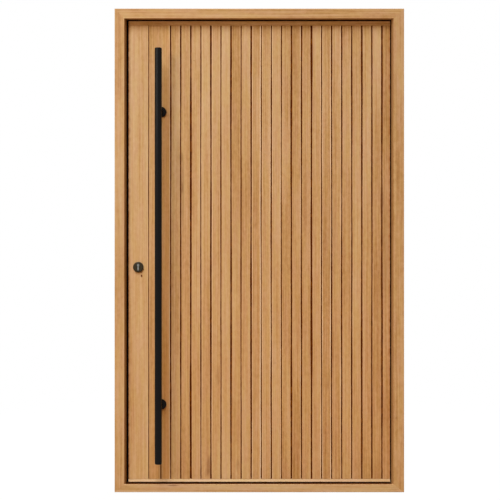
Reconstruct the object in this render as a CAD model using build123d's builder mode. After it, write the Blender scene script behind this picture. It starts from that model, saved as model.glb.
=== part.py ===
"""A clad entrance door: a leaf boarded on both faces, hung on pivots in a mitred timber frame.

Millimetres. X runs to the right and Y inwards for someone who stands outside, and Z runs up.
The origin is the middle of the sill's underside.
"""

import math
import os

from build123d import *

os.makedirs("parts", exist_ok=True)

# Frame
frame_width = 1320.0
frame_height = 2205.0
frame_depth = 120.0
head_face = 45.0  # width of the head, seen from outside
lock_jamb_face = 44.0  # the hinge jamb's face takes up what the leaf and the gaps leave
sill_height = 36.0
reveal_splay = 7.0  # the jambs taper in by this much from their front edge to the leaf
frame_arris = 1.5
lining_thickness = 4.0  # black strips let in flush round the leaf
lining_front_lip = 3.0  # timber left in front of the threshold
brush_channel_width = 8.0
brush_channel_depth = 1.5

# Leaf
leaf_recess = 28.0  # from the frame's front to the leaf's outer face
leaf_thickness = 60.0
lock_gap = 9.0  # beside the leaf's lock edge, which sweeps out as it turns
hinge_gap = 5.0
end_gap = 5.5  # over and under the leaf
top_rail_height = 20.0
bottom_rail_height = 12.0
drip_reach = 3.0  # the bottom rail's outer face slopes out by this much
lipping_width = 20.0
leaf_arris = 1.0

# Boards
board_thickness = 14.0
lock_board_width = 92.6  # from the leaf's edge to the middle of the first groove
bar_board_width = 100.9  # between the middles of its two grooves
blind_groove_inset = 54.6  # the groove routed down the bar board, from its first groove
board_pitch = 46.14
least_last_board = 20.0
groove_width = 4.0
groove_depth = 7.0
board_arris = 1.0
lap_reach = 6.0  # a board's rear lap, past the middle of the groove
lap_clearance = 0.2

# Pivots
pivot_inset = 150.0  # from the leaf's hinge edge
pivot_plate_width = 24.0
pivot_plate_thickness = 8.0
top_plate_length = 120.0
top_pin_diameter = 18.0
top_pin_reach = 15.0  # into the leaf
bush_diameter = 32.0
bush_height = 18.0
bottom_plate_length = 160.0
bottom_pin_diameter = 24.0
bottom_pin_reach = 24.0
collar_diameter = 36.0
shoe_length = 120.0
shoe_width = 30.0
shoe_height = 34.0
pin_clearance = 0.05
pin_chamfer = 1.0
pivot_float = 0.3  # between collar and shoe, and at the end of a pin
plate_clearance = 0.2

# Pull bars
bar_diameter = 32.0
bar_length = 1880.0
bar_foot = 137.0  # lower end above the sill's underside
bar_inset = 143.0  # axis from the leaf's lock edge
bar_standoff = 70.0  # axis from the leaf's face
bar_end_chamfer = 2.0
first_post_rise = 260.0  # lower post above the bar's foot
post_spacing = 1340.0
post_diameter = 20.0
post_lean = 7.0  # a post's foot stands this much nearer the hinge edge than the bar
post_rose_diameter = 48.0
post_rose_thickness = 6.0
post_fit = 0.05

# Lock
lock_height = 1026.0
lock_backset = 45.0
lock_rose_diameter = 48.0
lock_rose_thickness = 8.0
rose_chamfer = 2.0
cylinder_head_diameter = 17.0
cylinder_stem_width = 10.0
cylinder_height = 33.0
cylinder_clearance = 0.5
cylinder_proud = 1.0
keyway_width = 2.4
keyway_height = 9.0
keyway_depth = 12.0
turn_neck_diameter = 14.0
turn_neck_length = 6.0
turn_grip_width = 12.0
turn_grip_height = 36.0
turn_grip_length = 16.0
turn_chamfer = 2.0
faceplate_width = 24.0
faceplate_height = 240.0
faceplate_thickness = 3.0
faceplate_drop = 45.0  # its middle lies this much under the cylinder's
bolt_width = 12.0
bolt_height = 36.0
bolt_length = 16.0
bolt_drop = 30.0
latch_height = 20.0
latch_rise = 34.0
strike_height = 170.0
strike_play = 2.0  # how much larger the keeps are than the bolts, all round
through = 1.0  # how far a cutting tool runs past a face

# Places worked out from the sizes
frame_half = frame_width / 2
lock_face = -frame_half + lock_jamb_face
lock_opening = lock_face + reveal_splay
leaf_half = -lock_opening - lock_gap
hinge_opening = leaf_half + hinge_gap
hinge_face = hinge_opening + reveal_splay
opening_width = hinge_opening - lock_opening
opening_middle = (hinge_opening + lock_opening) / 2
opening_top = frame_height - head_face
opening_height = opening_top - sill_height
frame_front = -frame_depth / 2
frame_back = frame_depth / 2

leaf_front = frame_front + leaf_recess
leaf_back = leaf_front + leaf_thickness
leaf_middle = leaf_front + leaf_thickness / 2
leaf_bottom = sill_height + end_gap
leaf_top = opening_top - end_gap
boards_bottom = leaf_bottom + bottom_rail_height
boards_top = leaf_top - top_rail_height
boards_height = boards_top - boards_bottom
core_front = leaf_front + board_thickness
core_back = leaf_back - board_thickness
core_thickness = core_back - core_front
core_half = leaf_half - lipping_width
groove_floor = leaf_front + groove_depth

first_groove = -leaf_half + lock_board_width
second_groove = first_groove + bar_board_width
blind_groove = first_groove + blind_groove_inset
regular_boards = int((leaf_half - least_last_board - second_groove) // board_pitch)
grooves = [second_groove + index * board_pitch for index in range(1, regular_boards + 1)]

pivot_x = leaf_half - pivot_inset
bar_x = -leaf_half + bar_inset
bar_y = leaf_front - bar_standoff
post_x = bar_x + post_lean
post_heights = [bar_foot + first_post_rise, bar_foot + first_post_rise + post_spacing]
lock_x = -leaf_half + lock_backset
cylinder_head_rise = (cylinder_height - cylinder_head_diameter) / 2
cylinder_foot_drop = (cylinder_height - cylinder_stem_width) / 2
faceplate_middle = lock_height - faceplate_drop
bolt_z = faceplate_middle - bolt_drop
latch_z = faceplate_middle + latch_rise
leaf_mirror = Plane.XZ.offset(-leaf_middle)


def facing_out(x, y, z):
    """A plane across the door at depth y, whose sketches are seen from outside."""
    return Plane(origin=(x, y, z), x_dir=(1, 0, 0), z_dir=(0, -1, 0))


def cylinder_outline(margin):
    """A profile cylinder's outline round its middle, grown by margin, in the open sketch."""
    with Locations((0, cylinder_head_rise)):
        Circle(cylinder_head_diameter / 2 + margin)
    with Locations((0, (cylinder_head_rise - cylinder_foot_drop) / 2)):
        Rectangle(cylinder_stem_width + 2 * margin, cylinder_head_rise + cylinder_foot_drop)
    with Locations((0, -cylinder_foot_drop)):
        Circle(cylinder_stem_width / 2 + margin)


def cut_cylinder_hole():
    """The hole that the lock cylinder passes through, cut in the open part."""
    with BuildSketch(facing_out(lock_x, leaf_back + through, lock_height)) as hole:
        cylinder_outline(cylinder_clearance)
    extrude(hole.sketch, amount=leaf_thickness + 2 * through, mode=Mode.SUBTRACT)


def cut_rose_hole():
    """The hole in a rose that the lock cylinder's end shows through, cut in the open part."""
    with BuildSketch(facing_out(lock_x, leaf_front + through, lock_height)) as hole:
        cylinder_outline(cylinder_clearance)
    extrude(hole.sketch, amount=lock_rose_thickness + 2 * through, mode=Mode.SUBTRACT)


def cut_shoe_pocket():
    """The pocket for the bottom pivot's shoe, cut in the open part."""
    with BuildSketch(Plane.XY.offset(leaf_bottom - through)) as pocket:
        with Locations((pivot_x, leaf_middle)):
            Rectangle(shoe_length + 2 * plate_clearance, shoe_width + 2 * plate_clearance)
    extrude(pocket.sketch, amount=shoe_height + through, mode=Mode.SUBTRACT)


def board_outline(left, right):
    """The front layer of a board's section in the open sketch, as deep as the grooves."""
    with Locations((left, leaf_front)):
        Rectangle(right - left, groove_depth, align=(Align.MIN, Align.MIN))


def lap_outline(left, right):
    """The rear layer of a board's section in the open sketch, with its lap."""
    with Locations((left, groove_floor)):
        Rectangle(right - left, board_thickness - groove_depth, align=(Align.MIN, Align.MIN))


def jamb(outer, face, inner):
    """A mitred jamb from x = outer, whose reveal tapers in from its face to inner at the leaf."""
    with BuildPart() as post:
        with BuildSketch(facing_out(0, frame_back, 0)):
            Polygon(
                (outer, 0),
                (outer, frame_height),
                (face, opening_top),
                (inner, opening_top),
                (inner, sill_height),
                (face, sill_height),
                align=None,
            )
        extrude(amount=frame_back - leaf_front)
        with BuildSketch(facing_out(0, leaf_front, 0)):
            Polygon(
                (outer, 0),
                (outer, frame_height),
                (face, opening_top),
                (face, sill_height),
                align=None,
            )
        extrude(amount=leaf_recess)
        with BuildSketch(Plane.XY.offset(sill_height)):
            Polygon((face, frame_front), (inner, leaf_front), (face, leaf_front), align=None)
        extrude(amount=opening_height)
        fillet(post.faces().sort_by(Axis.Y)[0].edges().filter_by(Axis.Z), radius=frame_arris)
        with Locations((inner, leaf_middle, sill_height)):
            Box(
                2 * lining_thickness,
                leaf_thickness,
                opening_height,
                align=(Align.CENTER, Align.CENTER, Align.MIN),
                mode=Mode.SUBTRACT,
            )
    return post.part


def lining(origin, direction, length):
    """A strip that holds two brushes, drawn from origin along direction, its face to the leaf."""
    with BuildPart() as strip:
        with BuildSketch(Plane(origin=origin, x_dir=(0, 1, 0), z_dir=direction)):
            with Locations((0, -lining_thickness / 2)):
                Rectangle(leaf_thickness, lining_thickness)
            with Locations((-leaf_thickness / 4, 0), (leaf_thickness / 4, 0)):
                Rectangle(brush_channel_width, 2 * brush_channel_depth, mode=Mode.SUBTRACT)
        extrude(amount=length)
    return strip.part


def cut_plate_seat(length, height, z, seat_side):
    """Cut a pivot plate's seat, with play all round, on the seat_side of height z."""
    with Locations((pivot_x, leaf_middle, z)):
        Box(
            length + 2 * plate_clearance,
            pivot_plate_width + 2 * plate_clearance,
            height,
            align=(Align.CENTER, Align.CENTER, seat_side),
            mode=Mode.SUBTRACT,
        )


# Frame members
with BuildPart() as head:
    with BuildSketch(facing_out(0, frame_back, 0)):
        Polygon(
            (-frame_half, frame_height),
            (frame_half, frame_height),
            (hinge_face, opening_top),
            (lock_face, opening_top),
            align=None,
        )
    extrude(amount=frame_depth)
    fillet(head.faces().sort_by(Axis.Y)[0].edges().filter_by(Axis.X), radius=frame_arris)
    with Locations((opening_middle, leaf_middle, opening_top)):
        Box(
            opening_width,
            leaf_thickness,
            lining_thickness,
            align=(Align.CENTER, Align.CENTER, Align.MIN),
            mode=Mode.SUBTRACT,
        )
    cut_plate_seat(top_plate_length, pivot_plate_thickness, opening_top, Align.MIN)

with BuildPart() as sill:
    with BuildSketch(facing_out(0, frame_back, 0)):
        Polygon(
            (-frame_half, 0),
            (frame_half, 0),
            (hinge_face, sill_height),
            (lock_face, sill_height),
            align=None,
        )
    extrude(amount=frame_depth)
    fillet(sill.faces().sort_by(Axis.Y)[0].edges().filter_by(Axis.X), radius=frame_arris)
    with Locations((opening_middle, 0, sill_height)):
        Box(
            opening_width,
            frame_depth - 2 * lining_front_lip,
            lining_thickness,
            align=(Align.CENTER, Align.CENTER, Align.MAX),
            mode=Mode.SUBTRACT,
        )
    cut_plate_seat(bottom_plate_length, pivot_plate_thickness, sill_height, Align.MAX)

with BuildPart() as lock_jamb:
    add(jamb(-frame_half, lock_face, lock_opening))

with BuildPart() as hinge_jamb:
    add(jamb(frame_half, hinge_face, hinge_opening))

# Black linings that hold the brushes
with BuildPart() as lock_lining:
    add(lining((lock_opening, leaf_middle, opening_top), (0, 0, -1), opening_height))
    with Locations((lock_opening - lining_thickness / 2, leaf_middle, faceplate_middle)):
        Box(
            lining_thickness,
            faceplate_width + 2 * plate_clearance,
            strike_height + 2 * plate_clearance,
            mode=Mode.SUBTRACT,
        )

with BuildPart() as hinge_lining:
    add(lining((hinge_opening, leaf_middle, sill_height), (0, 0, 1), opening_height))

with BuildPart() as head_lining:
    add(lining((hinge_opening, leaf_middle, opening_top), (-1, 0, 0), opening_width))
    cut_plate_seat(top_plate_length, lining_thickness, opening_top, Align.MIN)

with BuildPart() as threshold:
    with Locations((opening_middle, 0, sill_height)):
        Box(
            opening_width,
            frame_depth - 2 * lining_front_lip,
            lining_thickness,
            align=(Align.CENTER, Align.CENTER, Align.MAX),
        )
    cut_plate_seat(bottom_plate_length, lining_thickness, sill_height, Align.MAX)

# Pivots
with BuildPart() as top_pivot:
    with BuildSketch(Plane.XY.offset(opening_top)):
        with Locations((pivot_x, leaf_middle)):
            Rectangle(top_plate_length, pivot_plate_width)
    extrude(amount=pivot_plate_thickness)
    with BuildSketch(Plane.XY.offset(opening_top)):
        with Locations((pivot_x, leaf_middle)):
            Circle(top_pin_diameter / 2)
    extrude(amount=-(end_gap + top_pin_reach))
    chamfer(top_pivot.faces().sort_by(Axis.Z)[0].edges(), length=pin_chamfer)

with BuildPart() as top_bush:
    with BuildSketch(Plane.XY.offset(leaf_top - bush_height)):
        with Locations((pivot_x, leaf_middle)):
            Circle(bush_diameter / 2)
    extrude(amount=bush_height)
    with BuildSketch(Plane.XY.offset(leaf_top - top_pin_reach - pivot_float)):
        with Locations((pivot_x, leaf_middle)):
            Circle(top_pin_diameter / 2 + pin_clearance)
    extrude(amount=top_pin_reach + pivot_float, mode=Mode.SUBTRACT)

with BuildPart() as bottom_pivot:
    with BuildSketch(Plane.XY.offset(sill_height)):
        with Locations((pivot_x, leaf_middle)):
            Rectangle(bottom_plate_length, pivot_plate_width)
    extrude(amount=-pivot_plate_thickness)
    with BuildSketch(Plane.XY.offset(sill_height)):
        with Locations((pivot_x, leaf_middle)):
            Circle(collar_diameter / 2)
    extrude(amount=end_gap - pivot_float)
    with BuildSketch(Plane.XY.offset(sill_height)):
        with Locations((pivot_x, leaf_middle)):
            Circle(bottom_pin_diameter / 2)
    extrude(amount=end_gap + bottom_pin_reach)
    chamfer(bottom_pivot.faces().sort_by(Axis.Z)[-1].edges(), length=pin_chamfer)

with BuildPart() as bottom_shoe:
    with BuildSketch(Plane.XY.offset(leaf_bottom)):
        with Locations((pivot_x, leaf_middle)):
            Rectangle(shoe_length, shoe_width)
    extrude(amount=shoe_height)
    with BuildSketch(Plane.XY.offset(leaf_bottom)):
        with Locations((pivot_x, leaf_middle)):
            Circle(bottom_pin_diameter / 2 + pin_clearance)
    extrude(amount=bottom_pin_reach + pivot_float, mode=Mode.SUBTRACT)

# Leaf
with BuildPart() as core_panel:
    with BuildSketch(Plane.XY.offset(boards_bottom)):
        with Locations((0, leaf_middle)):
            Rectangle(2 * core_half, core_thickness)
    extrude(amount=boards_height)
    cut_cylinder_hole()
    cut_shoe_pocket()

with BuildPart() as top_rail:
    with BuildSketch(Plane.YZ.offset(-leaf_half)) as top_section:
        Polygon(
            (leaf_front, boards_top), (leaf_back, boards_top), (leaf_back, leaf_top),
            (leaf_front, leaf_top),
            align=None,
        )
        chamfer(top_section.vertices(), length=leaf_arris)
    extrude(amount=2 * leaf_half)
    with BuildSketch(Plane.XY.offset(leaf_top - bush_height)):
        with Locations((pivot_x, leaf_middle)):
            Circle(bush_diameter / 2)
    extrude(amount=bush_height, mode=Mode.SUBTRACT)

with BuildPart() as bottom_rail:
    with BuildSketch(Plane.YZ.offset(-leaf_half)) as bottom_section:
        Polygon(
            (leaf_front, boards_bottom), (leaf_back, boards_bottom), (leaf_back, leaf_bottom),
            (leaf_front - drip_reach, leaf_bottom),
            align=None,
        )
        chamfer(bottom_section.vertices(), length=leaf_arris)
    extrude(amount=2 * leaf_half)
    cut_shoe_pocket()

with BuildPart() as lock_lipping:
    with BuildSketch(Plane.XY.offset(boards_bottom)):
        with Locations((-leaf_half, leaf_middle)):
            Rectangle(lipping_width, core_thickness, align=(Align.MIN, Align.CENTER))
    extrude(amount=boards_height)
    with Locations((-leaf_half, leaf_middle, faceplate_middle)):
        Box(
            faceplate_thickness,
            faceplate_width,
            faceplate_height,
            align=(Align.MIN, Align.CENTER, Align.CENTER),
            mode=Mode.SUBTRACT,
        )
    for z, height in ((bolt_z, bolt_height), (latch_z, latch_height)):
        with Locations((-leaf_half, leaf_middle, z)):
            Box(
                bolt_length,
                bolt_width,
                height,
                align=(Align.MIN, Align.CENTER, Align.CENTER),
                mode=Mode.SUBTRACT,
            )

with BuildPart() as hinge_lipping:
    with BuildSketch(Plane.XY.offset(boards_bottom)):
        with Locations((leaf_half, leaf_middle)):
            Rectangle(lipping_width, core_thickness, align=(Align.MAX, Align.CENTER))
    extrude(amount=boards_height)

# Boards, shiplapped: each groove's floor is the rear lap of the board on its lock side
with BuildPart() as outer_lock_board:
    with BuildSketch(Plane.XY.offset(boards_bottom)) as lock_board_section:
        board_outline(-leaf_half, first_groove - groove_width / 2)
        lap_outline(-leaf_half, first_groove + lap_reach)
        chamfer(lock_board_section.vertices().group_by(Axis.Y)[0], length=board_arris)
    extrude(amount=boards_height)
    cut_cylinder_hole()

with BuildPart() as outer_bar_board:
    with BuildSketch(Plane.XY.offset(boards_bottom)) as bar_board_section:
        board_outline(first_groove + groove_width / 2, second_groove - groove_width / 2)
        lap_outline(first_groove + lap_reach + lap_clearance, second_groove + lap_reach)
        chamfer(bar_board_section.vertices().group_by(Axis.Y)[0], length=board_arris)
    extrude(amount=boards_height)
    with BuildSketch(Plane.XY.offset(boards_bottom)):
        with Locations((blind_groove, leaf_front)):
            Rectangle(groove_width, 2 * groove_depth)
    extrude(amount=post_heights[1] - boards_bottom, mode=Mode.SUBTRACT)

with BuildPart() as outer_boards:
    with BuildSketch(Plane.XY.offset(boards_bottom)) as boards_section:
        board_outline(second_groove + groove_width / 2, leaf_half)
        lap_outline(second_groove + lap_reach + lap_clearance, leaf_half)
        with Locations([(groove, leaf_front) for groove in grooves]):
            Rectangle(groove_width, 2 * groove_depth, mode=Mode.SUBTRACT)
        chamfer(boards_section.vertices().group_by(Axis.Y)[0], length=board_arris)
    extrude(amount=boards_height)

with BuildPart() as inner_lock_board:
    mirror(outer_lock_board.part, about=leaf_mirror)

with BuildPart() as inner_bar_board:
    mirror(outer_bar_board.part, about=leaf_mirror)

with BuildPart() as inner_boards:
    mirror(outer_boards.part, about=leaf_mirror)

# Pull bars, back to back, with the posts that lean from rose to bar
with BuildPart() as outer_bar:
    with BuildSketch(Plane.XY.offset(bar_foot)):
        with Locations((bar_x, bar_y)):
            Circle(bar_diameter / 2)
    extrude(amount=bar_length)
    chamfer(outer_bar.edges().filter_by(GeomType.CIRCLE), length=bar_end_chamfer)

with BuildPart() as outer_posts:
    for z in post_heights:
        with BuildSketch(facing_out(post_x, leaf_front, z)):
            Circle(post_rose_diameter / 2)
        extrude(amount=post_rose_thickness)
        with BuildSketch(
            Plane(origin=(post_x, leaf_front, z), z_dir=(-post_lean, -bar_standoff, 0))
        ):
            Circle(post_diameter / 2)
        extrude(amount=math.hypot(post_lean, bar_standoff))
    with BuildSketch(Plane.XY.offset(bar_foot)):
        with Locations((bar_x, bar_y)):
            Circle(bar_diameter / 2 + post_fit)
    extrude(amount=bar_length, mode=Mode.SUBTRACT)
    with BuildSketch(facing_out(post_x, leaf_back, post_heights[0])):
        with Locations((0, 0), (0, post_spacing)):
            Circle(post_rose_diameter / 2)
    extrude(amount=leaf_thickness, mode=Mode.SUBTRACT)

with BuildPart() as inner_bar:
    mirror(outer_bar.part, about=leaf_mirror)

with BuildPart() as inner_posts:
    mirror(outer_posts.part, about=leaf_mirror)

# Lock
with BuildPart() as lock_cylinder:
    with BuildSketch(facing_out(lock_x, leaf_back + lock_rose_thickness, lock_height)):
        cylinder_outline(0)
    extrude(amount=leaf_thickness + 2 * lock_rose_thickness + cylinder_proud)
    with BuildSketch(
        facing_out(
            lock_x,
            leaf_front - lock_rose_thickness - cylinder_proud + keyway_depth,
            lock_height + cylinder_head_rise,
        )
    ):
        Rectangle(keyway_width, keyway_height)
    extrude(amount=keyway_depth, mode=Mode.SUBTRACT)

with BuildPart() as outer_lock_rose:
    with BuildSketch(facing_out(lock_x, leaf_front, lock_height)):
        Circle(lock_rose_diameter / 2)
    extrude(amount=lock_rose_thickness)
    chamfer(outer_lock_rose.faces().sort_by(Axis.Y)[0].edges(), length=rose_chamfer)
    cut_rose_hole()

with BuildPart() as inner_lock_rose:
    mirror(outer_lock_rose.part, about=leaf_mirror)

with BuildPart() as thumbturn:
    with BuildSketch(
        facing_out(lock_x, leaf_back + lock_rose_thickness, lock_height + cylinder_head_rise)
    ):
        Circle(turn_neck_diameter / 2)
    extrude(amount=-turn_neck_length)
    with BuildSketch(
        facing_out(
            lock_x,
            leaf_back + lock_rose_thickness + turn_neck_length,
            lock_height + cylinder_head_rise,
        )
    ):
        SlotOverall(turn_grip_height, turn_grip_width, rotation=90)
    extrude(amount=-turn_grip_length)
    chamfer(thumbturn.faces().sort_by(Axis.Y)[-1].edges(), length=turn_chamfer)

with BuildPart() as lock_faceplate:
    with Locations((-leaf_half, leaf_middle, faceplate_middle)):
        Box(
            faceplate_thickness,
            faceplate_width,
            faceplate_height,
            align=(Align.MIN, Align.CENTER, Align.CENTER),
        )
    for z, height in ((bolt_z, bolt_height), (latch_z, latch_height)):
        with Locations((-leaf_half, leaf_middle, z)):
            Box(
                faceplate_thickness,
                bolt_width,
                height,
                align=(Align.MIN, Align.CENTER, Align.CENTER),
                mode=Mode.SUBTRACT,
            )

with BuildPart() as lock_bolts:
    for z, height in ((bolt_z, bolt_height), (latch_z, latch_height)):
        with Locations((-leaf_half, leaf_middle, z)):
            Box(
                bolt_length,
                bolt_width,
                height,
                align=(Align.MIN, Align.CENTER, Align.CENTER),
            )

with BuildPart() as strike_plate:
    with Locations((lock_opening, leaf_middle, faceplate_middle)):
        Box(
            lining_thickness,
            faceplate_width,
            strike_height,
            align=(Align.MAX, Align.CENTER, Align.CENTER),
        )
    for z, height in ((bolt_z, bolt_height), (latch_z, latch_height)):
        with Locations((lock_opening, leaf_middle, z)):
            Box(
                lining_thickness,
                bolt_width + 2 * strike_play,
                height + 2 * strike_play,
                align=(Align.MAX, Align.CENTER, Align.CENTER),
                mode=Mode.SUBTRACT,
            )

pieces = {
    "head": head,
    "sill": sill,
    "lock_jamb": lock_jamb,
    "hinge_jamb": hinge_jamb,
    "lock_lining": lock_lining,
    "hinge_lining": hinge_lining,
    "head_lining": head_lining,
    "threshold": threshold,
    "strike_plate": strike_plate,
    "top_pivot": top_pivot,
    "bottom_pivot": bottom_pivot,
    "core_panel": core_panel,
    "top_rail": top_rail,
    "bottom_rail": bottom_rail,
    "lock_lipping": lock_lipping,
    "hinge_lipping": hinge_lipping,
    "outer_lock_board": outer_lock_board,
    "outer_bar_board": outer_bar_board,
    "outer_boards": outer_boards,
    "inner_lock_board": inner_lock_board,
    "inner_bar_board": inner_bar_board,
    "inner_boards": inner_boards,
    "outer_bar": outer_bar,
    "outer_posts": outer_posts,
    "inner_bar": inner_bar,
    "inner_posts": inner_posts,
    "outer_lock_rose": outer_lock_rose,
    "inner_lock_rose": inner_lock_rose,
    "lock_cylinder": lock_cylinder,
    "thumbturn": thumbturn,
    "lock_faceplate": lock_faceplate,
    "lock_bolts": lock_bolts,
    "top_bush": top_bush,
    "bottom_shoe": bottom_shoe,
}
for name, piece in pieces.items():
    piece.part.label = name
    export_step(piece.part, f"parts/{name}.step")
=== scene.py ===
"""Looks of a clad pivot door: boards, rails, pull bars, lock and mitred frame, in metres."""

import logging
import math
from collections.abc import Sequence
from dataclasses import dataclass, field
from enum import Enum

import bpy
import numpy as np
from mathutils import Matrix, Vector


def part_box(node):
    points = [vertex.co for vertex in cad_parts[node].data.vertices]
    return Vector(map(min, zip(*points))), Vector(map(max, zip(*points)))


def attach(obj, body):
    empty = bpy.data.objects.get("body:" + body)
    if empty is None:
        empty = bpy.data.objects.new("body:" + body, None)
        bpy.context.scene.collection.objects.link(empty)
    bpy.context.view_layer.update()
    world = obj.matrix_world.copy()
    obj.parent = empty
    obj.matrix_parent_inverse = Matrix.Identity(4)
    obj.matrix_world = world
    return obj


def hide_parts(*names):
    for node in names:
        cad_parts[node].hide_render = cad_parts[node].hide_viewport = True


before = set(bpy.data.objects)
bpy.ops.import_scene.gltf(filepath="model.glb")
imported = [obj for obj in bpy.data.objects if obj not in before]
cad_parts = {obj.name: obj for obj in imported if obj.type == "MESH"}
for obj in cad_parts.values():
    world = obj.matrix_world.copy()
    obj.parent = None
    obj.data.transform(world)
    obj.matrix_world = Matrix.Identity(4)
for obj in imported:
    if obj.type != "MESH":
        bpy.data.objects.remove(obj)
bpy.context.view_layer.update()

LOG = logging.getLogger("clad_door")
MM = 0.001
THROUGH = 1e6  # a half length, in metres, that lets a mark run right through the timber
Socket = bpy.types.NodeSocket
Triple = tuple[float, float, float]
Colour = Triple


class Side(Enum):
    """The face of the leaf that a piece is on. Its value starts the names of its nodes."""

    OUTER = "outer"
    INNER = "inner"

    @property
    def outward(self) -> float:
        """Give the way out of the leaf on this side, as -1 or 1 along y."""
        return -1.0 if self is Side.OUTER else 1.0

    def face(self) -> float:
        """Read the y of the leaf's face on this side from its lock board's solid."""
        low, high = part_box(f"{self.value}_lock_board")
        return low[1] if self is Side.OUTER else high[1]


class Grain(Enum):
    """The way a member's grain runs."""

    UPRIGHT = "upright"
    LEVEL = "level"


class Gap(Enum):
    """How wide a groove between two boards is, in millimetres."""

    FINE = 2.0
    TIGHT = 3.4
    CLOSE = 4.5
    OPEN = 5.5
    WIDE = 6.6


class Ends(Enum):
    """How the two ends of a skin are closed."""

    FLAT = "flat"
    POINT = "point"
    JOINED = "joined"


def linear(red: float, green: float, blue: float) -> Colour:
    """Turn a colour written as 0 to 255 display levels into linear light.

    Args:
        red: Display level of red.
        green: Display level of green.
        blue: Display level of blue.

    Returns:
        The three linear values.
    """
    level = np.array([red, green, blue]) / 255
    light = np.where(level <= 0.04045, level / 12.92, ((level + 0.055) / 1.055) ** 2.4)
    return tuple(float(value) for value in light)


def wander(rng: np.random.Generator, places: np.ndarray, reach: float, period: float) -> np.ndarray:
    """Work out a smooth random line: a sum of five sines of falling strength.

    Args:
        rng: The source of the phases.
        places: Where along the line the values are wanted, in metres.
        reach: About the largest value.
        period: The longest sine's length, in metres.

    Returns:
        One value for each place.
    """
    order = np.arange(1, 6)
    phases = rng.uniform(0, 2 * math.pi, order.size)
    waves = np.sin(2 * math.pi * np.outer(places / period, order) + phases) / order
    return reach * waves.sum(axis=1) / np.sqrt((1 / order**2).sum())


def full_turn(around: int, start: float = math.pi / 2) -> np.ndarray:
    """Give evenly spaced angles once round, from the top unless another start is given."""
    return start + np.linspace(0, 2 * math.pi, around, endpoint=False)


def linked(name: str, data: bpy.types.ID) -> bpy.types.Object:
    """Put a mesh, a light or a camera into the scene as an object.

    Args:
        name: The object's name.
        data: The mesh, light or camera.

    Returns:
        The object.
    """
    made = bpy.data.objects.new(name, data)
    bpy.context.scene.collection.objects.link(made)
    return made


@dataclass
class MeshBatch:
    """Closed skins, each a grid of points, gathered into one mesh.

    Attributes:
        points: The points of each skin.
        faces: The faces of all skins, as the numbers of their points.
        values: The named numbers that the points carry, skin by skin.
        count: How many points there are so far.
    """

    points: list[np.ndarray] = field(default_factory=list)
    faces: list[list[int]] = field(default_factory=list)
    values: dict[str, list[np.ndarray]] = field(default_factory=dict)
    count: int = 0

    def add_skin(self, rings: np.ndarray, ends: Ends = Ends.FLAT, **values: np.ndarray) -> None:
        """Add a skin whose rows are closed rings, joined each to the next by quads.

        Its faces look outwards: they are turned round if the sum of a . (b x c) over its
        triangles, which is six times its volume, comes out negative.

        Args:
            rings: Points as an array of stations, points round a ring, and three coordinates.
            ends: How the first and last ring are closed.
            values: Named numbers, one for each point of the grid or one for all.
        """
        stations, around = rings.shape[:2]
        index = np.arange(stations * around).reshape(stations, around)
        last = stations if ends is Ends.JOINED else stations - 1
        here = index[:last]
        there = np.roll(index, -1, axis=0)[:last]
        quads = np.stack(
            [here, np.roll(here, -1, axis=1), np.roll(there, -1, axis=1), there], axis=-1
        ).reshape(-1, 4)
        points = rings.reshape(-1, 3)
        spread = {name: np.broadcast_to(value, (stations, around)) for name, value in values.items()}
        extra = {name: value.reshape(-1) for name, value in spread.items()}
        caps: list[list[int]] = []
        if ends is Ends.FLAT:
            caps = [index[0][::-1].tolist(), index[-1].tolist()]
        elif ends is Ends.POINT:
            tips = np.stack([rings[0].mean(axis=0), rings[-1].mean(axis=0)])
            points = np.vstack([points, tips])
            first_tip, last_tip = index.size, index.size + 1
            turned_on = np.roll(index, -1, axis=1)
            first = np.stack([turned_on[0], index[0], np.full(around, first_tip)], axis=1)
            final = np.stack([index[-1], turned_on[-1], np.full(around, last_tip)], axis=1)
            caps = first.tolist() + final.tolist()
            extra = {
                name: np.append(value, [value[:around].mean(), value[-around:].mean()])
                for name, value in extra.items()
            }
        fans = [
            (cap[0], second, third)
            for cap in caps
            for second, third in zip(cap[1:-1], cap[2:], strict=True)
        ]
        triangles = [quads[:, :3], quads[:, [0, 2, 3]], np.array(fans, int).reshape(-1, 3)]
        corners = points[np.vstack(triangles)]
        volume = np.einsum("ij,ij->", corners[:, 0], np.cross(corners[:, 1], corners[:, 2]))
        faces = quads.tolist() + caps
        if volume < 0:
            faces = [face[::-1] for face in faces]
        self.faces += [[corner + self.count for corner in face] for face in faces]
        self.points.append(points)
        for name, value in extra.items():
            self.values.setdefault(name, []).append(value)
        self.count += len(points)

    def build(self, name: str, crease_deg: float = 38.0) -> bpy.types.Object:
        """Put the skins into one mesh object, smooth apart from its sharp edges.

        Args:
            name: The object's name.
            crease_deg: Edges that turn by more than this stay sharp.

        Returns:
            The object, at the origin.
        """
        mesh = bpy.data.meshes.new(name)
        mesh.from_pydata(np.vstack(self.points).tolist(), [], self.faces)
        for label, parts in self.values.items():
            attribute = mesh.attributes.new(label, "FLOAT", "POINT")
            attribute.data.foreach_set("value", np.concatenate(parts).astype(np.float32))
        mesh.shade_smooth()
        mesh.set_sharp_from_angle(angle=math.radians(crease_deg))
        mesh.validate()
        return linked(name, mesh)


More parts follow.
